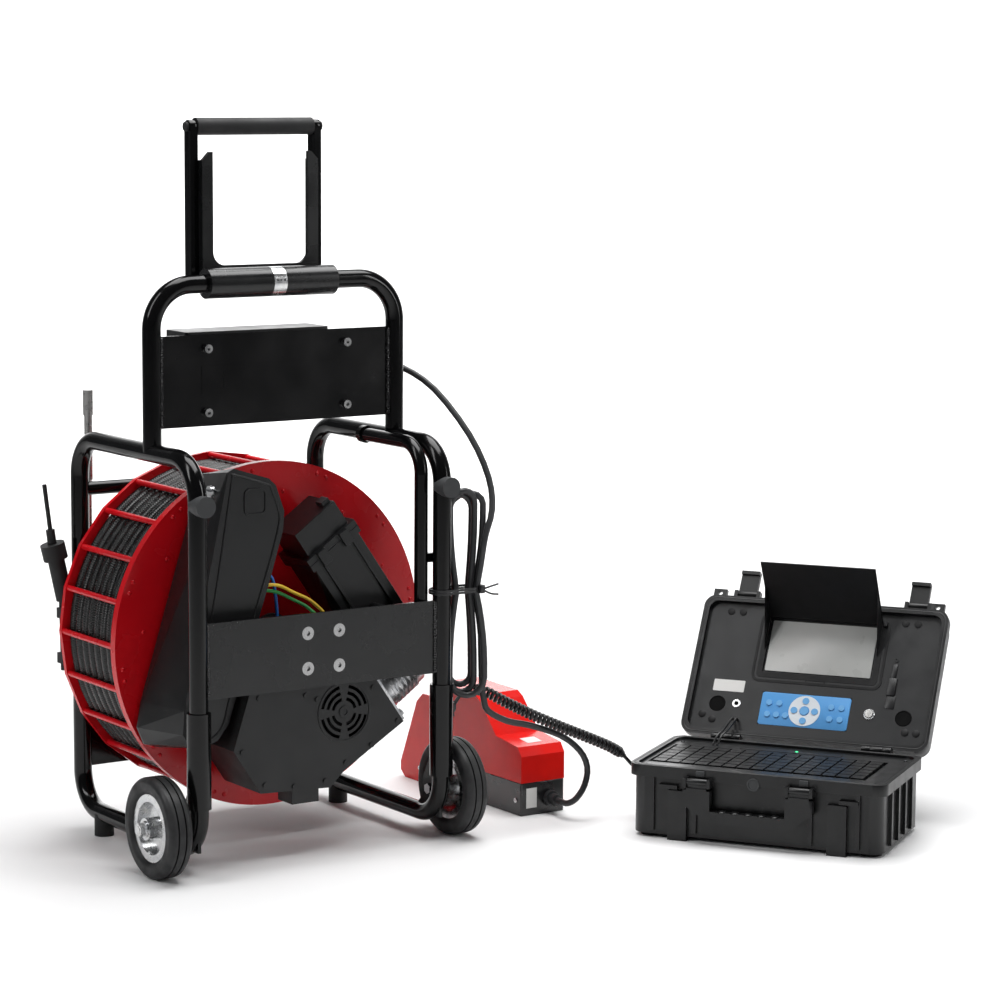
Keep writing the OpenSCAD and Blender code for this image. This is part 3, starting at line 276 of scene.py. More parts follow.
button_blue = Surface("button_blue", (0.16, 0.44, 0.8), 0.45, specular=0.3).grain(0.5, 0.01).wear(6, 0.05).made
keypad_white = Surface("keypad_white", (0.75, 0.8, 0.84), 0.42).grain(0.5, 0.01).wear(8, 0.05).made
screen_grey = Surface("screen_grey", (0.5, 0.51, 0.49), 0.3).patches(120, (0.6, 0.61, 0.59)).wear(60, 0.05).made
# Near-black, barely glossy material for the discs in the panel's round holes: painted shade standing for the dark
# insides of the holes.
hole_shade_black = (Surface("hole_shade_black", (0.0015, 0.0015, 0.0016), 0.7, specular=0.1)
              .grain(0.5, 0.02).wear(12, 0.06).made)
bolt_grey = Surface("bolt_grey", (0.4, 0.4, 0.4), 0.26, metal=1).grain(0.6, 0.02).wear(9, 0.08).made
shade_black = (Surface("shade_black", (0.004, 0.004, 0.0045), 0.55, specular=0.3)
               .grain(0.5, 0.02, 5).wear(20, 0.06).made)
seal_rubber = Surface("seal_rubber", (0.02, 0.02, 0.021), 0.5).grain(0.4, 0.02).wear(10, 0.06).made
tie_nylon = Surface("tie_nylon", (0.015, 0.015, 0.016), 0.32).grain(0.5, 0.02).wear(8, 0.05).made
WIRE_COLOURS = {
    "wire_blue": (0.02, 0.16, 0.55), "wire_yellow": (0.8, 0.52, 0.03), "wire_green": (0.05, 0.4, 0.1),
}
wire_surfaces = {name: Surface(name, colour, 0.35).grain(0.5, 0.01).wear(8, 0.05).made
                 for name, colour in WIRE_COLOURS.items()}
led_green = Surface("led_green", (0.02, 0.6, 0.2), 0.3)
led_green.shader.inputs["Emission Color"].default_value = (0.05, 0.9, 0.35, 1)
led_green.shader.inputs["Emission Strength"].default_value = 0.8
led_green = led_green.made

BY_SLOT = {
    "frame_black": gloss_black, "plate_black": satin_black, "zinc": zinc, "rubber_black": rubber,
    "reel_red": reel_red, "barrel_grey": barrel_dark, "cable_black": jacket, "tyre_black": tyre_rubber,
    "case_black": case_black, "cast_aluminium": cast_metal, "wire_colours": wire_surfaces["wire_yellow"],
    "camera_steel": turned_steel, "pedal_red": pedal_red, "panel_dark": monitor_dark,
    "key_black": key_black, "keypad_blue": button_blue,
}
BY_NODE = {
    "upper_panel": panel_black, "handle_bars": gloss_black, "drive_box": sheet_black,
    "drive_box_cover": sheet_black, "battery_cover": moulded_black, "battery_case": moulded_black,
    "battery_lid": moulded_black, "control_box": moulded_black, "wound_cable": push_cable,
    "post_buffers": buffer_grey, "pedal_base": pedal_black, "pedal_treadle": rubber,
    "keyboard_deck": deck_dark, "sunshade": shade_black, "fan_rotor": moulded_black,
    "handle_sleeve": satin_black, "frame_bolts": bolt_grey, "drum_hub": dark_steel, "post_sleeves": gloss_black,
}


def paint_cad():
    for sub in frame["record"]["subparts"]:
        node = bpy.data.objects[sub["node"]]
        made = BY_NODE.get(sub["node"], BY_SLOT[sub["material_slot"]])
        if not node.material_slots:
            node.data.materials.append(made)
        for cell in node.material_slots:
            cell.material = made


def round_edges(width, *nodes):
    """A fine round on the edges of CAD nodes, which catches the light."""
    for name in nodes:
        node = bpy.data.objects[name]
        weld = node.modifiers.new("join", "WELD")
        weld.merge_threshold = 0.00001
        bevel = node.modifiers.new("edge", "BEVEL")
        bevel.width = width * MM
        bevel.segments = 2
        bevel.limit_method = "ANGLE"
        bevel.angle_limit = math.radians(50)
        bevel.harden_normals = False


paint_cad()
round_edges(2.4, "pedal_hood", "pedal_base")
round_edges(1.2, "case_base", "case_lid", "drive_motor")
round_edges(0.5, "keyboard_keys", "drive_box", "drive_box_cover", "control_box")
round_edges(0.8, "case_handle", "latch_left", "latch_right", "battery_case", "battery_lid", "handle_bars")

# ---------------------------------------------------------------- mesh and curve helpers


class Shape:
    """Solids drawn in one place's millimetres and kept as one piece."""

    def __init__(self, place):
        self.place, self.bm = place, bmesh.new()

    def box(self, low, high, edge=0.5, turn=None):
        low, high = Vector(low), Vector(high)
        move = Matrix.Translation((low + high) / 2)
        if turn is not None:
            move = move @ turn
        made = bmesh.ops.create_cube(self.bm, size=1, matrix=move @ Matrix.Diagonal((*(high - low), 1)))
        edges = {e for v in made["verts"] for e in v.link_edges}
        if edge:
            bmesh.ops.bevel(self.bm, geom=list(edges), offset=edge, segments=2, affect="EDGES", profile=0.5)
        return self

    def rings(self, start, axis, profile, sides=28):
        """A turned solid: profile is (distance along the axis, radius) from end to end."""
        start, axis = Vector(start), Vector(axis).normalized()
        across = axis.orthogonal().normalized()
        other = axis.cross(across)
        loops = []
        for along, radius in profile:
            centre = start + axis * along
            loops.append([self.bm.verts.new(centre + radius * (math.cos(a) * across + math.sin(a) * other))
                          for a in (2 * math.pi * k / sides for k in range(sides))])
        for one, two in zip(loops, loops[1:]):
            for k in range(sides):
                self.bm.faces.new((one[k], one[(k + 1) % sides], two[(k + 1) % sides], two[k]))
        self.bm.faces.new(loops[0][::-1])
        self.bm.faces.new(loops[-1])
        return self

    def screw(self, at, axis, r, h, drive=True):
        """A cheese-head screw with a hollow drive."""
        profile = [(0, r), (h * 0.75, r), (h, r * 0.86)]
        if drive:
            profile += [(h, r * 0.5), (h * 0.45, r * 0.42), (h * 0.4, r * 0.05)]
        return self.rings(at, axis, profile, 20)

    def dome(self, at, axis, r, h, sides=16):
        steps = [k * math.pi / 8 for k in range(4)]
        return self.rings(at, axis, [(h * math.sin(a), r * math.cos(a)) for a in steps] + [(h, r * 0.1)], sides)

    def tube(self, at, axis, r_in, r_out, h, sides=40):
        """A hollow ring, closed all round."""
        start, axis = Vector(at), Vector(axis).normalized()
        across = axis.orthogonal().normalized()
        other = axis.cross(across)
        edge = min(h, r_out - r_in) * 0.2
        section = [(0, r_in), (0, r_out), (h - edge, r_out), (h, r_out - edge), (h, r_in + edge), (h - edge, r_in)]
        grid = [[self.bm.verts.new(start + axis * z + r * (math.cos(a) * across + math.sin(a) * other))
                 for z, r in section] for a in (2 * math.pi * k / sides for k in range(sides))]
        for k in range(sides):
            for j in range(len(section)):
                i = (j + 1) % len(section)
                self.bm.faces.new((grid[k][j], grid[k][i], grid[(k + 1) % sides][i], grid[(k + 1) % sides][j]))
        return self

    def bead(self, a, b, r, pitch=2.6):
        """A weld bead: overlapping scales from a to b."""
        a, b = Vector(a), Vector(b)
        along = (b - a).normalized()
        count = max(2, int((b - a).length / pitch))
        for k in range(count):
            at = a.lerp(b, (k + 0.5) / count) + Vector([rng.uniform(-0.25, 0.25) for _ in range(3)])
            move = Matrix.Translation(at) @ along.to_track_quat("Z", "Y").to_matrix().to_4x4()
            size = r * rng.uniform(0.9, 1.12)
            bmesh.ops.create_uvsphere(self.bm, u_segments=10, v_segments=6, radius=1,
                                      matrix=move @ Matrix.Diagonal((size, size, pitch * 0.8, 1)))
        return self

    def prism(self, outline, low, high, edge=0.0):
        """An outline in X and Y, extruded in Z."""
        bottom = [self.bm.verts.new((x, y, low)) for x, y in outline]
        top = [self.bm.verts.new((x, y, high)) for x, y in outline]
        count = len(outline)
        faces = [self.bm.faces.new(bottom[::-1]), self.bm.faces.new(top)]
        faces += [self.bm.faces.new((bottom[k], bottom[(k + 1) % count], top[(k + 1) % count], top[k]))
                  for k in range(count)]
        if edge:
            bmesh.ops.bevel(self.bm, geom=list(faces[1].edges), offset=edge, segments=2, affect="EDGES", profile=0.5)
        return self

    def frame(self, outer, inner, low, high):
        """A closed band between two outlines with the same number of points."""
        count = len(outer)
        loops = [[self.bm.verts.new((x, y, z)) for x, y in line]
                 for line, z in ((outer, low), (outer, high), (inner, high), (inner, low))]
        for j in range(4):
            one, two = loops[j], loops[(j + 1) % 4]
            for k in range(count):
                self.bm.faces.new((one[k], one[(k + 1) % count], two[(k + 1) % count], two[k]))
        return self

    def mesh(self, name):
        bmesh.ops.recalc_face_normals(self.bm, faces=self.bm.faces)
        self.bm.transform(self.place)
        mesh = bpy.data.meshes.new(name)
        self.bm.to_mesh(mesh)
        self.bm.free()
        return mesh

    def done(self, name, made, body="root", sharp=35):
        piece = bpy.data.objects.new(name, self.mesh(name))
        bpy.context.collection.objects.link(piece)
        piece.data.materials.append(made)
        piece.data.shade_smooth()
        piece.data.set_sharp_from_angle(angle=math.radians(sharp))
        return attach(piece, body) if body else piece


def rounded(low, high, r, steps=6):
    """Outline of a rectangle with round corners."""
    points = []
    for (x, y), start in (((high[0] - r, high[1] - r), 0), ((low[0] + r, high[1] - r), 90),
                          ((low[0] + r, low[1] + r), 180), ((high[0] - r, low[1] + r), 270)):
        for k in range(steps + 1):
            a = math.radians(start + 90 * k / steps)
            points.append((x + r * math.cos(a), y + r * math.sin(a)))
    return points


def smooth(points, steps=4):
    """Catmull-Rom curve through the points, in the same unit."""
    points = [Vector(p) for p in points]
    ends = [points[0] * 2 - points[1], *points, points[-1] * 2 - points[-2]]
    out = []
    for a, b, c, d in zip(ends, ends[1:], ends[2:], ends[3:]):
        for k in range(steps):
            t = k / steps
            square, cube = 2 * a - 5 * b + 4 * c - d, 3 * b - a - 3 * c + d
            out.append(0.5 * (2 * b + (c - a) * t + square * t ** 2 + cube * t ** 3))
    return [*out, points[-1]]


def line(name, points, r, made, body="root", closed=False, place=CART, slot=None):
    """A round bar or cord along points, as one spline."""
    data = bpy.data.curves.new(name, "CURVE")
    data.dimensions = "3D"
    data.bevel_depth = r * MM
    data.bevel_resolution = 5
    data.use_fill_caps = True
    spline = data.splines.new("POLY")
    spline.points.add(len(points) - 1)
    for cell, point in zip(spline.points, points):
        cell.co = (*(place @ Vector(point)), 1)
    spline.use_cyclic_u = closed
    spline.use_smooth = True
    data.materials.append(made)
    piece = bpy.data.objects.new(name, data)
    bpy.context.collection.objects.link(piece)
    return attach(piece, body)


# ---------------------------------------------------------------- cords

PEDAL_CORD_R = 5
CORD_UPPER = [
    (110, -14, 716), (158, -14, 716), (205, -16, 718), (240, -28, 712), (272, -70, 680),
    (297, -130, 614), (306, -170, 552), (298, -192, 505), (279, -202, 466), (256, -194, 432),
]
CORD_LOWER = [
    (269, -181, 246), (272, -184, 230), (277, -187, 212), (294, -190, 192), (330, -190, 172), (374, -190, 160),
    (431, -190, 138), (468, -190, 110), (482, -192, 82), (476, -194, 54), (460, -194, 34),
    (450, -186, 26), (451, -170, 24), (453, -152, 24),
]
HANK_MID, HANK_LEG = Vector((256, -178, 379)), 133
HANK_TURN = math.radians(-24)
HANK_LOOPS = ((4, 27, 6, -9), (-3, 19, 2, 0), (-4, 17, -8, 9), (8, 22, 4, 5))
HANK_PINCH = 0.55
HANK_STEPS = 40
HANK_START, HANK_STOP = 4, 130
HANK_EXIT = [(285, -186, 236), (287, -188, 212)]
TIE_Z = 383


def hank_turns():
    """The tied turns of the pedal cord, one row of HANK_LOOPS (centre, half width, extra leg, layer) for each.

    A turn goes down the right leg, round the bottom, up the left leg and over the top.
    """
    points = []
    place = Matrix.Translation(HANK_MID) @ Matrix.Rotation(HANK_TURN, 4, "Z")
    for k in range(HANK_START, HANK_STOP):
        turn, part = divmod(k / HANK_STEPS, 1)
        here, after = HANK_LOOPS[int(turn)], HANK_LOOPS[min(int(turn) + 1, len(HANK_LOOPS) - 1)]
        ease = min(1, max(0, (part - 0.8) / 0.2))
        ease = ease * ease * (3 - 2 * ease)
        centre, r, extra, layer = (one + (two - one) * ease for one, two in zip(here, after))
        leg = HANK_LEG + extra - (r - 20)
        if part < 0.3:
            x, z = r, leg * (1 - 2 * part / 0.3)
        elif part < 0.5:
            a = math.pi * (part - 0.3) / 0.2
            x, z = r * math.cos(a), -leg - r * math.sin(a)
        elif part < 0.8:
            x, z = -r, leg * (2 * (part - 0.5) / 0.3 - 1)
        else:
            a = math.pi * (part - 0.8) / 0.2
            x, z = -r * math.cos(a), leg + r * math.sin(a)
        away = min(1, abs(HANK_MID.z + z - TIE_Z) / (HANK_LEG * 0.9))
        squeeze = HANK_PINCH + (1 - HANK_PINCH) * (1 - (1 - away) ** 2)
        points.append(place @ Vector(((centre + x) * squeeze, layer, z)))
    return points


def make_pedal_cord():
    turns = hank_turns()
    points = smooth([*CORD_UPPER[:-1], turns[0]], 3)[:-1] + turns
    points += smooth([turns[-1], *HANK_EXIT, *CORD_LOWER[3:]], 3)[1:]
    cord = line("pedal_cord", points, PEDAL_CORD_R, jacket, slot="cable_black")
    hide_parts("pedal_cord_upper", "pedal_cord_hank", "pedal_cord_lower")


CURLY_R, CURLY_WIRE_R, CURLY_PITCH = 9.3, 2.9, 7.4
CURLY_ROUTE = [
    (246, -165, 200), (264, -158, 214), (285, -163, 222), (306, -171, 216), (333, -180, 200), (374, -190, 178),
    (420, -203, 156), (469, -213, 134), (509, -218, 115), (534, -216, 99), (547, -215, 87), (553.8, -221.1, 78),
]


def make_curly_cord():
    """A helix round its route, with a straight tail at each end."""
    spine = smooth(CURLY_ROUTE, 12)
    along = [0.0]
    for a, b in zip(spine, spine[1:]):
        along.append(along[-1] + (b - a).length)
    total, tail, ease = along[-1], 26, 16
    side = Vector((0, 1, 0))
    points = []
    step = CURLY_PITCH / 14
    place, count = 0, int(total / step)
    for k in range(count + 1):
        s = total * k / count
        while place < len(along) - 2 and along[place + 1] < s:
            place += 1
        a, b = spine[place], spine[place + 1]
        at = a.lerp(b, (s - along[place]) / (along[place + 1] - along[place]))
        ahead = (b - a).normalized()
        side = (side - ahead * side.dot(ahead)).normalized()
        up = ahead.cross(side)
        grow = min(1, max(0, (s - tail) / ease), max(0, (total - tail - s) / ease))
        angle = 2 * math.pi * s / CURLY_PITCH
        if grow or k % 8 == 0 or k == count:
            points.append(at + (CURLY_R - CURLY_WIRE_R) * grow * (math.cos(angle) * side + math.sin(angle) * up))
    cord = line("curly_lead", points, CURLY_WIRE_R, curly_black, slot="cable_black")
    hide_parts("curly_cord")


def make_tie():
    """The thin tie round the front post and the hank, with its loose tails."""
    low, high = Vector((HALF_W - TUBE_R - 2, -POST_Y - TUBE_R - 3)), Vector((HANK_MID.x + 17, HANK_MID.y + 14))
    shape = Shape(CART)
    wall = Vector((1.8, 1.8))
    for z in (TIE_Z, TIE_Z + 4.2):
        shape.frame(rounded(low, high, 15), rounded(low + wall, high - wall, 13.2), z - 1.8, z + 1.8)
    shape.box((high.x - 4, low.y - 1, TIE_Z - 4), (high.x + 5, low.y + 9, TIE_Z + 9), 1.5)
    shape.done("hank_tie", tie_nylon)
    for side, rise in (("upper", 9), ("lower", -7)):
        tail = [(high.x + 1, low.y + 2, TIE_Z + 2), (high.x + 14, low.y - 2, TIE_Z + rise * 0.7),
                (high.x + 27, low.y - 3, TIE_Z + rise)]
        line(f"hank_tie_tail_{side}", smooth(tail, 5), 1.5, tie_nylon, slot="cable_black")


WIRE_ROUTES = {
    "wire_blue": [(-70, -120, 428), (-52, -122, 422), (-46, -124, 402),
                  (-44, -128, 360), (-44, -130, 300), (-44, -130, 272)],
    "wire_yellow": [(-74, -134, 412), (-48, -138, 410), (-24, -142, 398),
                    (8, -146, 380), (34, -150, 345), (38, -152, 272)],
    "wire_green": [(-76, -128, 404), (-50, -134, 400), (-26, -140, 388),
                   (2, -145, 371), (27, -150, 338), (30, -152, 272)],
}
WIRE_R = 2.6


def make_wires():
    for name, route in WIRE_ROUTES.items():
        points = smooth(route, 5)
        wire = line(name, points, WIRE_R, wire_surfaces[name], slot="wire_colours")
        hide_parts("wire_harness")


make_pedal_cord()
make_curly_cord()
make_tie()
make_wires()

# ---------------------------------------------------------------- reel and frame

UP, AHEAD = Vector((0, 0, 1)), Vector((0, -1, 0))


def make_rivets():
    """Pairs of rivets round the flange, at the ends of the cage rods."""
    flange_low, flange_high = span("drum_flange")
    radius = (flange_high.z - flange_low.z) / 2
    front, mid_z = flange_low.y, (flange_high.z + flange_low.z) / 2
    shape = Shape(CART)
    for k in range(12):
        for offset in (-2.0, 2.0):
            a = math.radians(30 * k + 9 + offset)
            shape.dome((math.cos(a) * (radius - 11), front + 0.2, mid_z + math.sin(a) * (radius - 11)), AHEAD, 3.4, 2)
        a = math.radians(30 * k + 24)
        shape.dome((math.cos(a) * (radius - 46), front + 0.2, mid_z + math.sin(a) * (radius - 46)), AHEAD, 3, 1.6)
    shape.done("flange_rivets", reel_red, "drum")


def make_welds():
    """Beads where the plates meet the tubes."""
    for name, node in (("panel_welds", "upper_panel"), ("plate_welds", "front_plate")):
        low, high = span(node)
        shape = Shape(CART)
        for s in (-1, 1):
            x = s * (HALF_W - TUBE_R + 0.5)
            shape.bead((x, low.y - 0.5, low.z + 2), (x, low.y - 0.5, high.z - 2), 3.6)
        shape.done(name, weld_black)


def make_panel_strip():
    """The blank strip in the middle of the upper panel."""
    low, high = span("upper_panel")
    mid = (low + high) / 2
    shape = Shape(CART @ Matrix.Translation((mid.x, low.y, mid.z)) @ Matrix.Rotation(math.pi / 2, 4, "X"))
    shape.prism(rounded((-92, -13), (92, 13), 2), 0, 0.3)
    shape.done("panel_strip", panel_black)


COVER_OUTLINE = [
    (-138, 586), (-128, 591), (-70, 573), (-58, 562), (-44, 523), (-46, 495), (-66, 430),
    (-125, 262), (-140, 212), (-158, 190), (-182, 181), (-204, 186), (-216, 204), (-214, 240), (-176, 377),
]
COVER_FRONT_Y = -150


def inset(outline, amount):
    """The outline's points moved inwards."""
    points = [Vector(p) for p in outline]
    moved = []
    for a, b, c in zip([points[-1], *points], points, [*points[1:], points[0]]):
        one, two = (b - a).normalized(), (c - b).normalized()
        normal = Vector((one.y, -one.x)) + Vector((two.y, -two.x))
        moved.append(b + normal.normalized() * amount)
    return moved


def make_cover_detail():
    """Raised rim and blank recess on the moulded battery cover."""
    rim = inset(COVER_OUTLINE, 9)
    loop = smooth([(p.x, COVER_FRONT_Y, p.y) for p in [*rim, rim[0]]], 4)[:-1]
    line("cover_rim", loop, 1.7, moulded_black, closed=True, slot="case_black")
    low, high = Vector((-112, 520)), Vector((-74, 560))
    shape = Shape(CART @ Matrix.Translation((0, COVER_FRONT_Y, 0)) @ Matrix.Rotation(math.pi / 2, 4, "X"))
    shape.frame(rounded(low, high, 9), rounded(low + Vector((3, 3)), high - Vector((3, 3)), 7), -0.4, 1.6)
    shape.done("cover_recess", moulded_black)


def make_drive_detail():
    """The pressed rings round the fan slots."""
    shape = Shape(CART)
    shape.tube((47, -170, 214), AHEAD, 43, 46, 1.2)
    shape.tube((47, -170, 214), AHEAD, 5, 9, 1.4)
    shape.done("fan_guard_rings", sheet_black)


make_rivets()
make_welds()
make_panel_strip()
make_cover_detail()
make_drive_detail()

# ---------------------------------------------------------------- foot pedal


def make_pedal_detail():
    """Blank labels and the hood's screws."""
    low, high = span("pedal_base")
    hood_low, hood_high = span("pedal_hood")
    front = low.y
    labels = Shape(CART)
    labels.box((low.x + 10, front - 0.5, 12), (low.x + 30, front + 0.3, 44), 0.1)
    labels.done("pedal_label", label_white)
    slope = math.atan2(8, 62)
    middle_x = (hood_low.x + hood_high.x) / 2
    marks = Shape(CART @ Matrix.Translation((middle_x, -98, 113.2)) @ Matrix.Rotation(slope, 4, "X"))
    marks.prism(rounded((-14, -12), (14, 12), 1.5), -0.2, 0.4)
    marks.done("hood_mark", label_white)
    screws = Shape(CART)
    for y in (hood_low.y + 14, hood_high.y - 60):
        for x, s in ((hood_low.x, -1), (hood_high.x, 1)):
            screws.screw((x, y, 24), (s, 0, 0), 4, 2.2)
    screws.done("hood_screws", zinc)


# ---------------------------------------------------------------- monitor case

OUT = Vector((0, 0, 1))


def make_seals():
    for name, place, low, high, z, body in (
        ("base_seal", CASE, (4.6, 4.6), (CASE_W - 4.6, CASE_DEPTH - 4.6), CASE_H - 0.8, "root"),
        ("lid_seal", LID, (4.6, 7.6), (CASE_W - 4.6, LID_HIGH - 4.6), -1.1, "lid"),
    ):
        loop = [(x, y, z) for x, y in rounded(low, high, 16, 8)]
        line(name, loop, 1.3, seal_rubber, body, closed=True, place=place, slot="case_black")


def make_screen():
    x, y, w, h = SCREEN
    glass = Shape(LID)
    glass.prism(rounded((x - w / 2 + 3.5, y - h / 2 + 3.5), (x + w / 2 - 3.5, y + h / 2 - 3.5), 2), -9.9, -9.2, 0.2)
    glass.done("screen_glass", screen_grey, "lid")
    bezel = Shape(LID)
    inner = rounded((x - w / 2, y - h / 2), (x + w / 2, y + h / 2), 3)
    bezel.frame(rounded((x - w / 2 - 9, y - h / 2 - 9), (x + w / 2 + 9, y + h / 2 + 5), 7), inner,
                PANEL_Z - 0.2, PANEL_Z + 0.6)
    bezel.frame(rounded((x - w / 2 - 17, y - h / 2 - 17), (x + w / 2 + 17, y + h / 2 + 9), 14),
                rounded((x - w / 2 - 13, y - h / 2 - 13), (x + w / 2 + 13, y + h / 2 + 6), 11),
                PANEL_Z - 0.2, PANEL_Z + 0.9)
    bezel.frame(rounded((x - 17, y - h / 2 - 15), (x + 17, y - h / 2 - 7), 3.9),
                rounded((x - 14, y - h / 2 - 12.5), (x + 14, y - h / 2 - 9.5), 1.4), PANEL_Z, PANEL_Z + 0.8)
    bezel.done("screen_bezel", shade_black, "lid")


KEYPAD_LOW, KEYPAD_HIGH = (124, 30), (272, 87)
POWER_AT = (304, 62)


def make_keypad():
    mid = Vector(((KEYPAD_LOW[0] + KEYPAD_HIGH[0]) / 2, (KEYPAD_LOW[1] + KEYPAD_HIGH[1]) / 2, 0))
    sheet = Shape(LID)
    room = Vector((0.5, 0.5))
    sheet.prism(rounded(Vector(KEYPAD_LOW) + room, Vector(KEYPAD_HIGH) - room, 4), -10.1, -7.9, 0.3)
    sheet.done("keypad_sheet", keypad_blue, "lid")
    ring = Shape(LID)
    ring.tube((mid.x, mid.y, -8), OUT, 8.2, 26, 0.6, 48)
    ring.done("keypad_ring", keypad_white, "lid")
    rims = Shape(LID)
    rims.tube((*POWER_AT, PANEL_Z - 0.2), OUT, 6.6, 9, 1.6)
    rims.tube((84, 62, PANEL_Z - 0.2), OUT, 3.4, 7, 1.8)
    rims.done("switch_rims", zinc, "lid")
    # Discs in the two round holes and the small socket, in near-black that barely reflects: painted shade for the
    # dark insides of the holes.
    hole_shades = Shape(LID)
    for a in (52, 360):
        hole_shades.rings((a, 60, PANEL_Z - 2.9), OUT, [(0, 13.5), (3.3, 13.5), (3.6, 13), (3.6, 12), (3, 11.6)], 40)
    hole_shades.rings((84, 62, PANEL_Z - 0.3), OUT, [(0, 3.2), (0.6, 3.2), (0.6, 0.5)])
    hole_shades.done("panel_ports", hole_shade_black, "lid")
    clip = Shape(LID)
    clip.box((326, 96, PANEL_Z - 0.3), (340, 126, PANEL_Z + 3), 1)
    clip.box((329, 124, PANEL_Z - 0.3), (337, 150, PANEL_Z + 2), 0.8)
    clip.box((327, 74, PANEL_Z - 0.3), (342, 97, PANEL_Z + 1), 0.4)
    clip.rings((333, 158, PANEL_Z - 0.2), OUT, [(0, 4), (1.4, 4), (1.4, 1.8), (0.2, 1.6)])
    clip.done("panel_clip", monitor_dark, "lid")
    tag = Shape(LID)
    tag.prism(rounded((40, 82), (92, 102), 1.5), PANEL_Z - 0.1, PANEL_Z + 0.3)
    tag.done("panel_label", label_white, "lid")
    pads = Shape(LID)
    for a, t in ((46, 222), (66, 222), (338, 222), (358, 222), (30, 40), (48, 32), (366, 36), (384, 36)):
        pads.rings((a, t, PANEL_Z - 0.1), OUT, [(0, 6), (0.9, 6), (1.3, 5.2)])
    pads.done("panel_pads", shade_black, "lid")


def make_lid_lead():
    """The short lead from the panel to the deck."""
    to_case = CASE.inverted() @ LID
    start, end = to_case @ Vector((84, 34, PANEL_Z)), Vector((74, 196, CASE_H - 4))
    across = Vector((1, 0, 0))
    points = smooth([start, start + Vector((0, -10, 3)), Vector((82, 222, CASE_H + 16)),
                     Vector((77, 206, CASE_H + 9)), end], 6)
    for k, shift in enumerate((0, 7)):
        shape = Shape(CASE)
        rows = []
        for j, at in enumerate(points):
            ahead = (points[min(j + 1, len(points) - 1)] - points[max(j - 1, 0)]).normalized()
            side = ahead.cross(across).normalized()
            rows.append([shape.bm.verts.new(at + Vector((shift, 0, 0)) + 1.9 * (math.cos(a) * side + math.sin(a) * across))
                         for a in (math.tau * i / 12 for i in range(12))])
        for one, two in zip(rows, rows[1:]):
            for i in range(12):
                shape.bm.faces.new((one[i], one[(i + 1) % 12], two[(i + 1) % 12], two[i]))
        shape.bm.faces.new(rows[0][::-1])
        shape.bm.faces.new(rows[-1])
        piece = shape.done(f"lid_lead_{k}", curly_black, None)
        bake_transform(piece)


def make_gussets():
    """Thin side folds between the panel and the open sunshade."""
    hinge_z = PANEL_Z + 2
    lean = math.radians(180 - 117)
    for s, side in ((-1, "left"), (1, "right")):
        x = SCREEN[0] + s * (SCREEN[2] / 2 + 2.5)
        shape = Shape(LID)
        rows, columns = 8, 10
        corner = Vector((x, SHADE_HINGE_T, hinge_z))
        low_end = corner + Vector((0, -58, -0.8))
        high_end = corner + Vector((0, math.cos(lean) * SHADE_LEN * 0.62, math.sin(lean) * SHADE_LEN * 0.62))
        grids = []
        for dx in (-0.35, 0.35):
            grids.append([[shape.bm.verts.new(corner.lerp(low_end.lerp(high_end, c / columns), 0.04 + 0.96 * r / rows)
                                              + Vector((dx, 0, 0))) for c in range(columns + 1)]
                          for r in range(rows + 1)])
        for grid in grids:
            for r in range(rows):
                for c in range(columns):
                    shape.bm.faces.new((grid[r][c], grid[r][c + 1], grid[r + 1][c + 1], grid[r + 1][c]))
        rim = [(0, c) for c in range(columns)] + [(r, columns) for r in range(rows)]
        rim += [(rows, columns - c) for c in range(columns)] + [(rows - r, 0) for r in range(rows)]
        for (r1, c1), (r2, c2) in zip(rim, [*rim[1:], rim[0]]):
            shape.bm.faces.new((grids[0][r1][c1], grids[0][r2][c2], grids[1][r2][c2], grids[1][r1][c1]))
        piece = shape.done(f"shade_gusset_{side}", shade_black, None)
        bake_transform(piece)


def make_deck_detail():
    lamp = Shape(CASE)
    lamp.dome((212, 196, CASE_H - 4.2), OUT, 3, 2.4)
    lamp.done("deck_lamp", led_green)
    trim = Shape(CASE)
    trim.prism(rounded((120, 186), (286, 206), 4), CASE_H - 4.1, CASE_H - 3.4, 0.3)
    trim.done("deck_trim", monitor_dark)
    screws = Shape(CASE)
    for a in (22, CASE_W - 22):
        for b in (24, CASE_DEPTH - 30):
            screws.screw((a, b, CASE_H - 4.1), OUT, 3, 1.4)
    screws.done("deck_screws", dark_steel)


def make_case_front():
    """Grey tabs and blank disc on the front wall, and the finger ridges of the handle."""
    place = CASE @ Matrix.Rotation(math.pi / 2, 4, "X")
    ridges = Shape(CASE)
    for k in range(5):
        ridges.dome((156 + 21 * k, -9, 52.5), OUT, 8, 3.2)
    ridges.done("grip_ridges", case_black, "case_handle")
    tabs = Shape(place)
    for a in (118, 282):
        tabs.box((a - 7, 103, -0.5), (a + 7, 112, 3.5), 1)
    tabs.rings((202, 98, -0.4), OUT, [(0, 10), (1.2, 10), (1.8, 9.2), (1.8, 7.6), (1, 7)])
    tabs.done("case_tabs", buffer_grey)


make_pedal_detail()
make_seals()
make_screen()
make_keypad()
make_lid_lead()
make_gussets()
make_deck_detail()
make_case_front()

# ---------------------------------------------------------------- stage and light


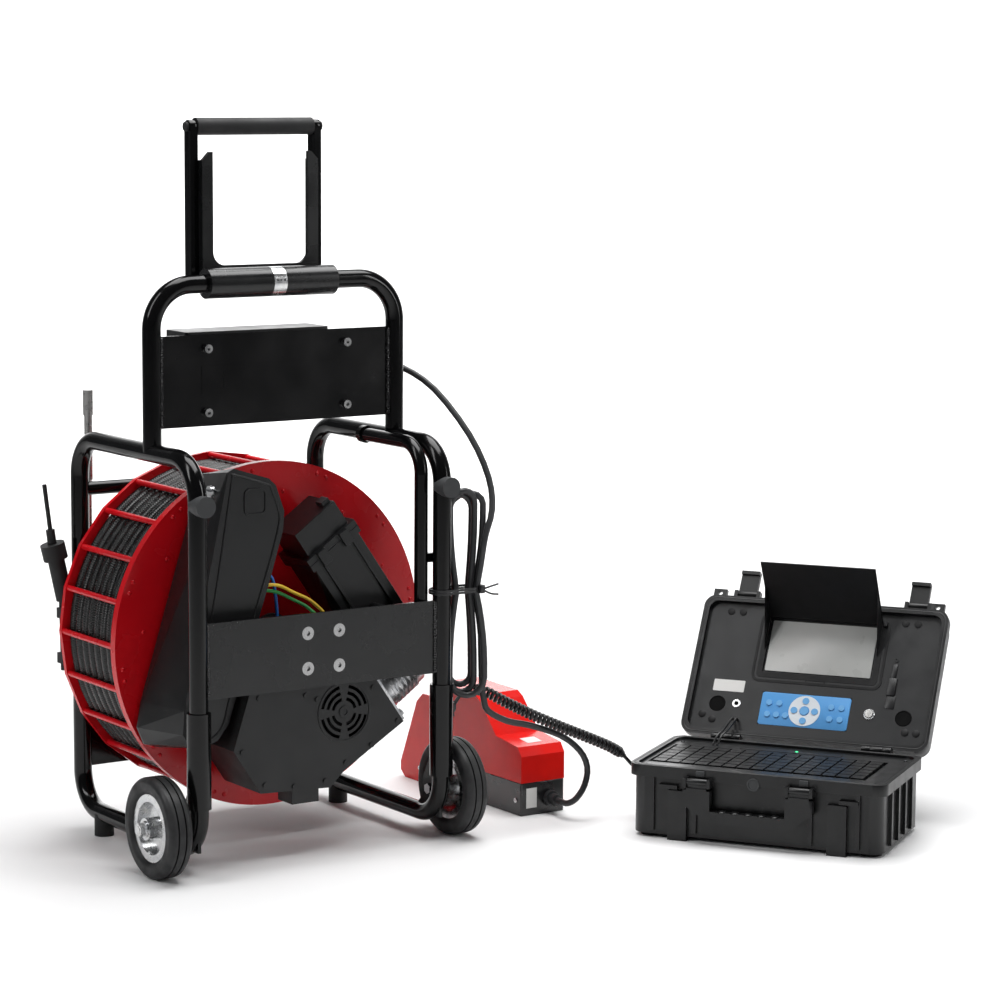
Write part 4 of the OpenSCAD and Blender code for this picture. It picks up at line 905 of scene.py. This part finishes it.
def make_stage():
    """A pale floor that curves up into a pale wall, square to the camera's heading."""
    heading = Matrix.Rotation(-CAMERA_YAW, 4, "Z")
    shape = Shape(Matrix.Identity(4))
    front, back, bend_r, wall, half = -7.0, 4.0, 2.0, 5.5, 9.0
    section = [(front, 0.0), (back, 0.0)]
    section += [(back + bend_r * math.sin(a), bend_r * (1 - math.cos(a)))
                for a in (math.pi / 2 * k / 12 for k in range(1, 13))]
    section.append((back + bend_r, wall))
    rows = [[shape.bm.verts.new(heading @ Vector((x, y, z))) for x in (-half, half)] for y, z in section]
    for one, two in zip(rows, rows[1:]):
        shape.bm.faces.new((one[0], one[1], two[1], two[0]))
    floor = shape.done("floor", Surface("floor_pale", (0.86, 0.86, 0.86), 0.7).wear(400, 0.03).made, None)


def area_light(name, at, aim, size, power, tall=None, colour=(1, 1, 1)):
    data = bpy.data.lights.new(name, "AREA")
    data.shape = "RECTANGLE"
    data.size, data.size_y = size, tall or size
    data.energy, data.color = power, colour
    light = bpy.data.objects.new(name, data)
    light.location = at
    light.rotation_mode = "QUATERNION"
    light.rotation_quaternion = (Vector(aim) - Vector(at)).to_track_quat("-Z", "Y")
    bpy.context.collection.objects.link(light)


def make_light():
    world = bpy.data.worlds.new("world")
    world.use_nodes = True
    world.node_tree.nodes["Background"].inputs["Color"].default_value = (0.93, 0.95, 1, 1)
    world.node_tree.nodes["Background"].inputs["Strength"].default_value = 0.09
    bpy.context.scene.world = world
    bpy.context.scene.view_settings.view_transform = "Standard"
    turn = Matrix.Rotation(-CAMERA_YAW, 4, "Z")
    area_light("key", turn @ Vector((-2.6, -1.6, 2.9)), (0, 0, 0.4), 0.7, 45, 2.6)
    area_light("side", turn @ Vector((2.9, -0.8, 1.6)), (0.1, 0, 0.4), 0.35, 22, 2.2)
    area_light("top", turn @ Vector((0.2, 0.4, 3.4)), (0, 0, 0.3), 2.6, 150)
    area_light("wall", turn @ Vector((0, 3.4, 3.2)), turn @ Vector((0, 6, 1.2)), 6, 300, 2)


make_stage()
make_light()
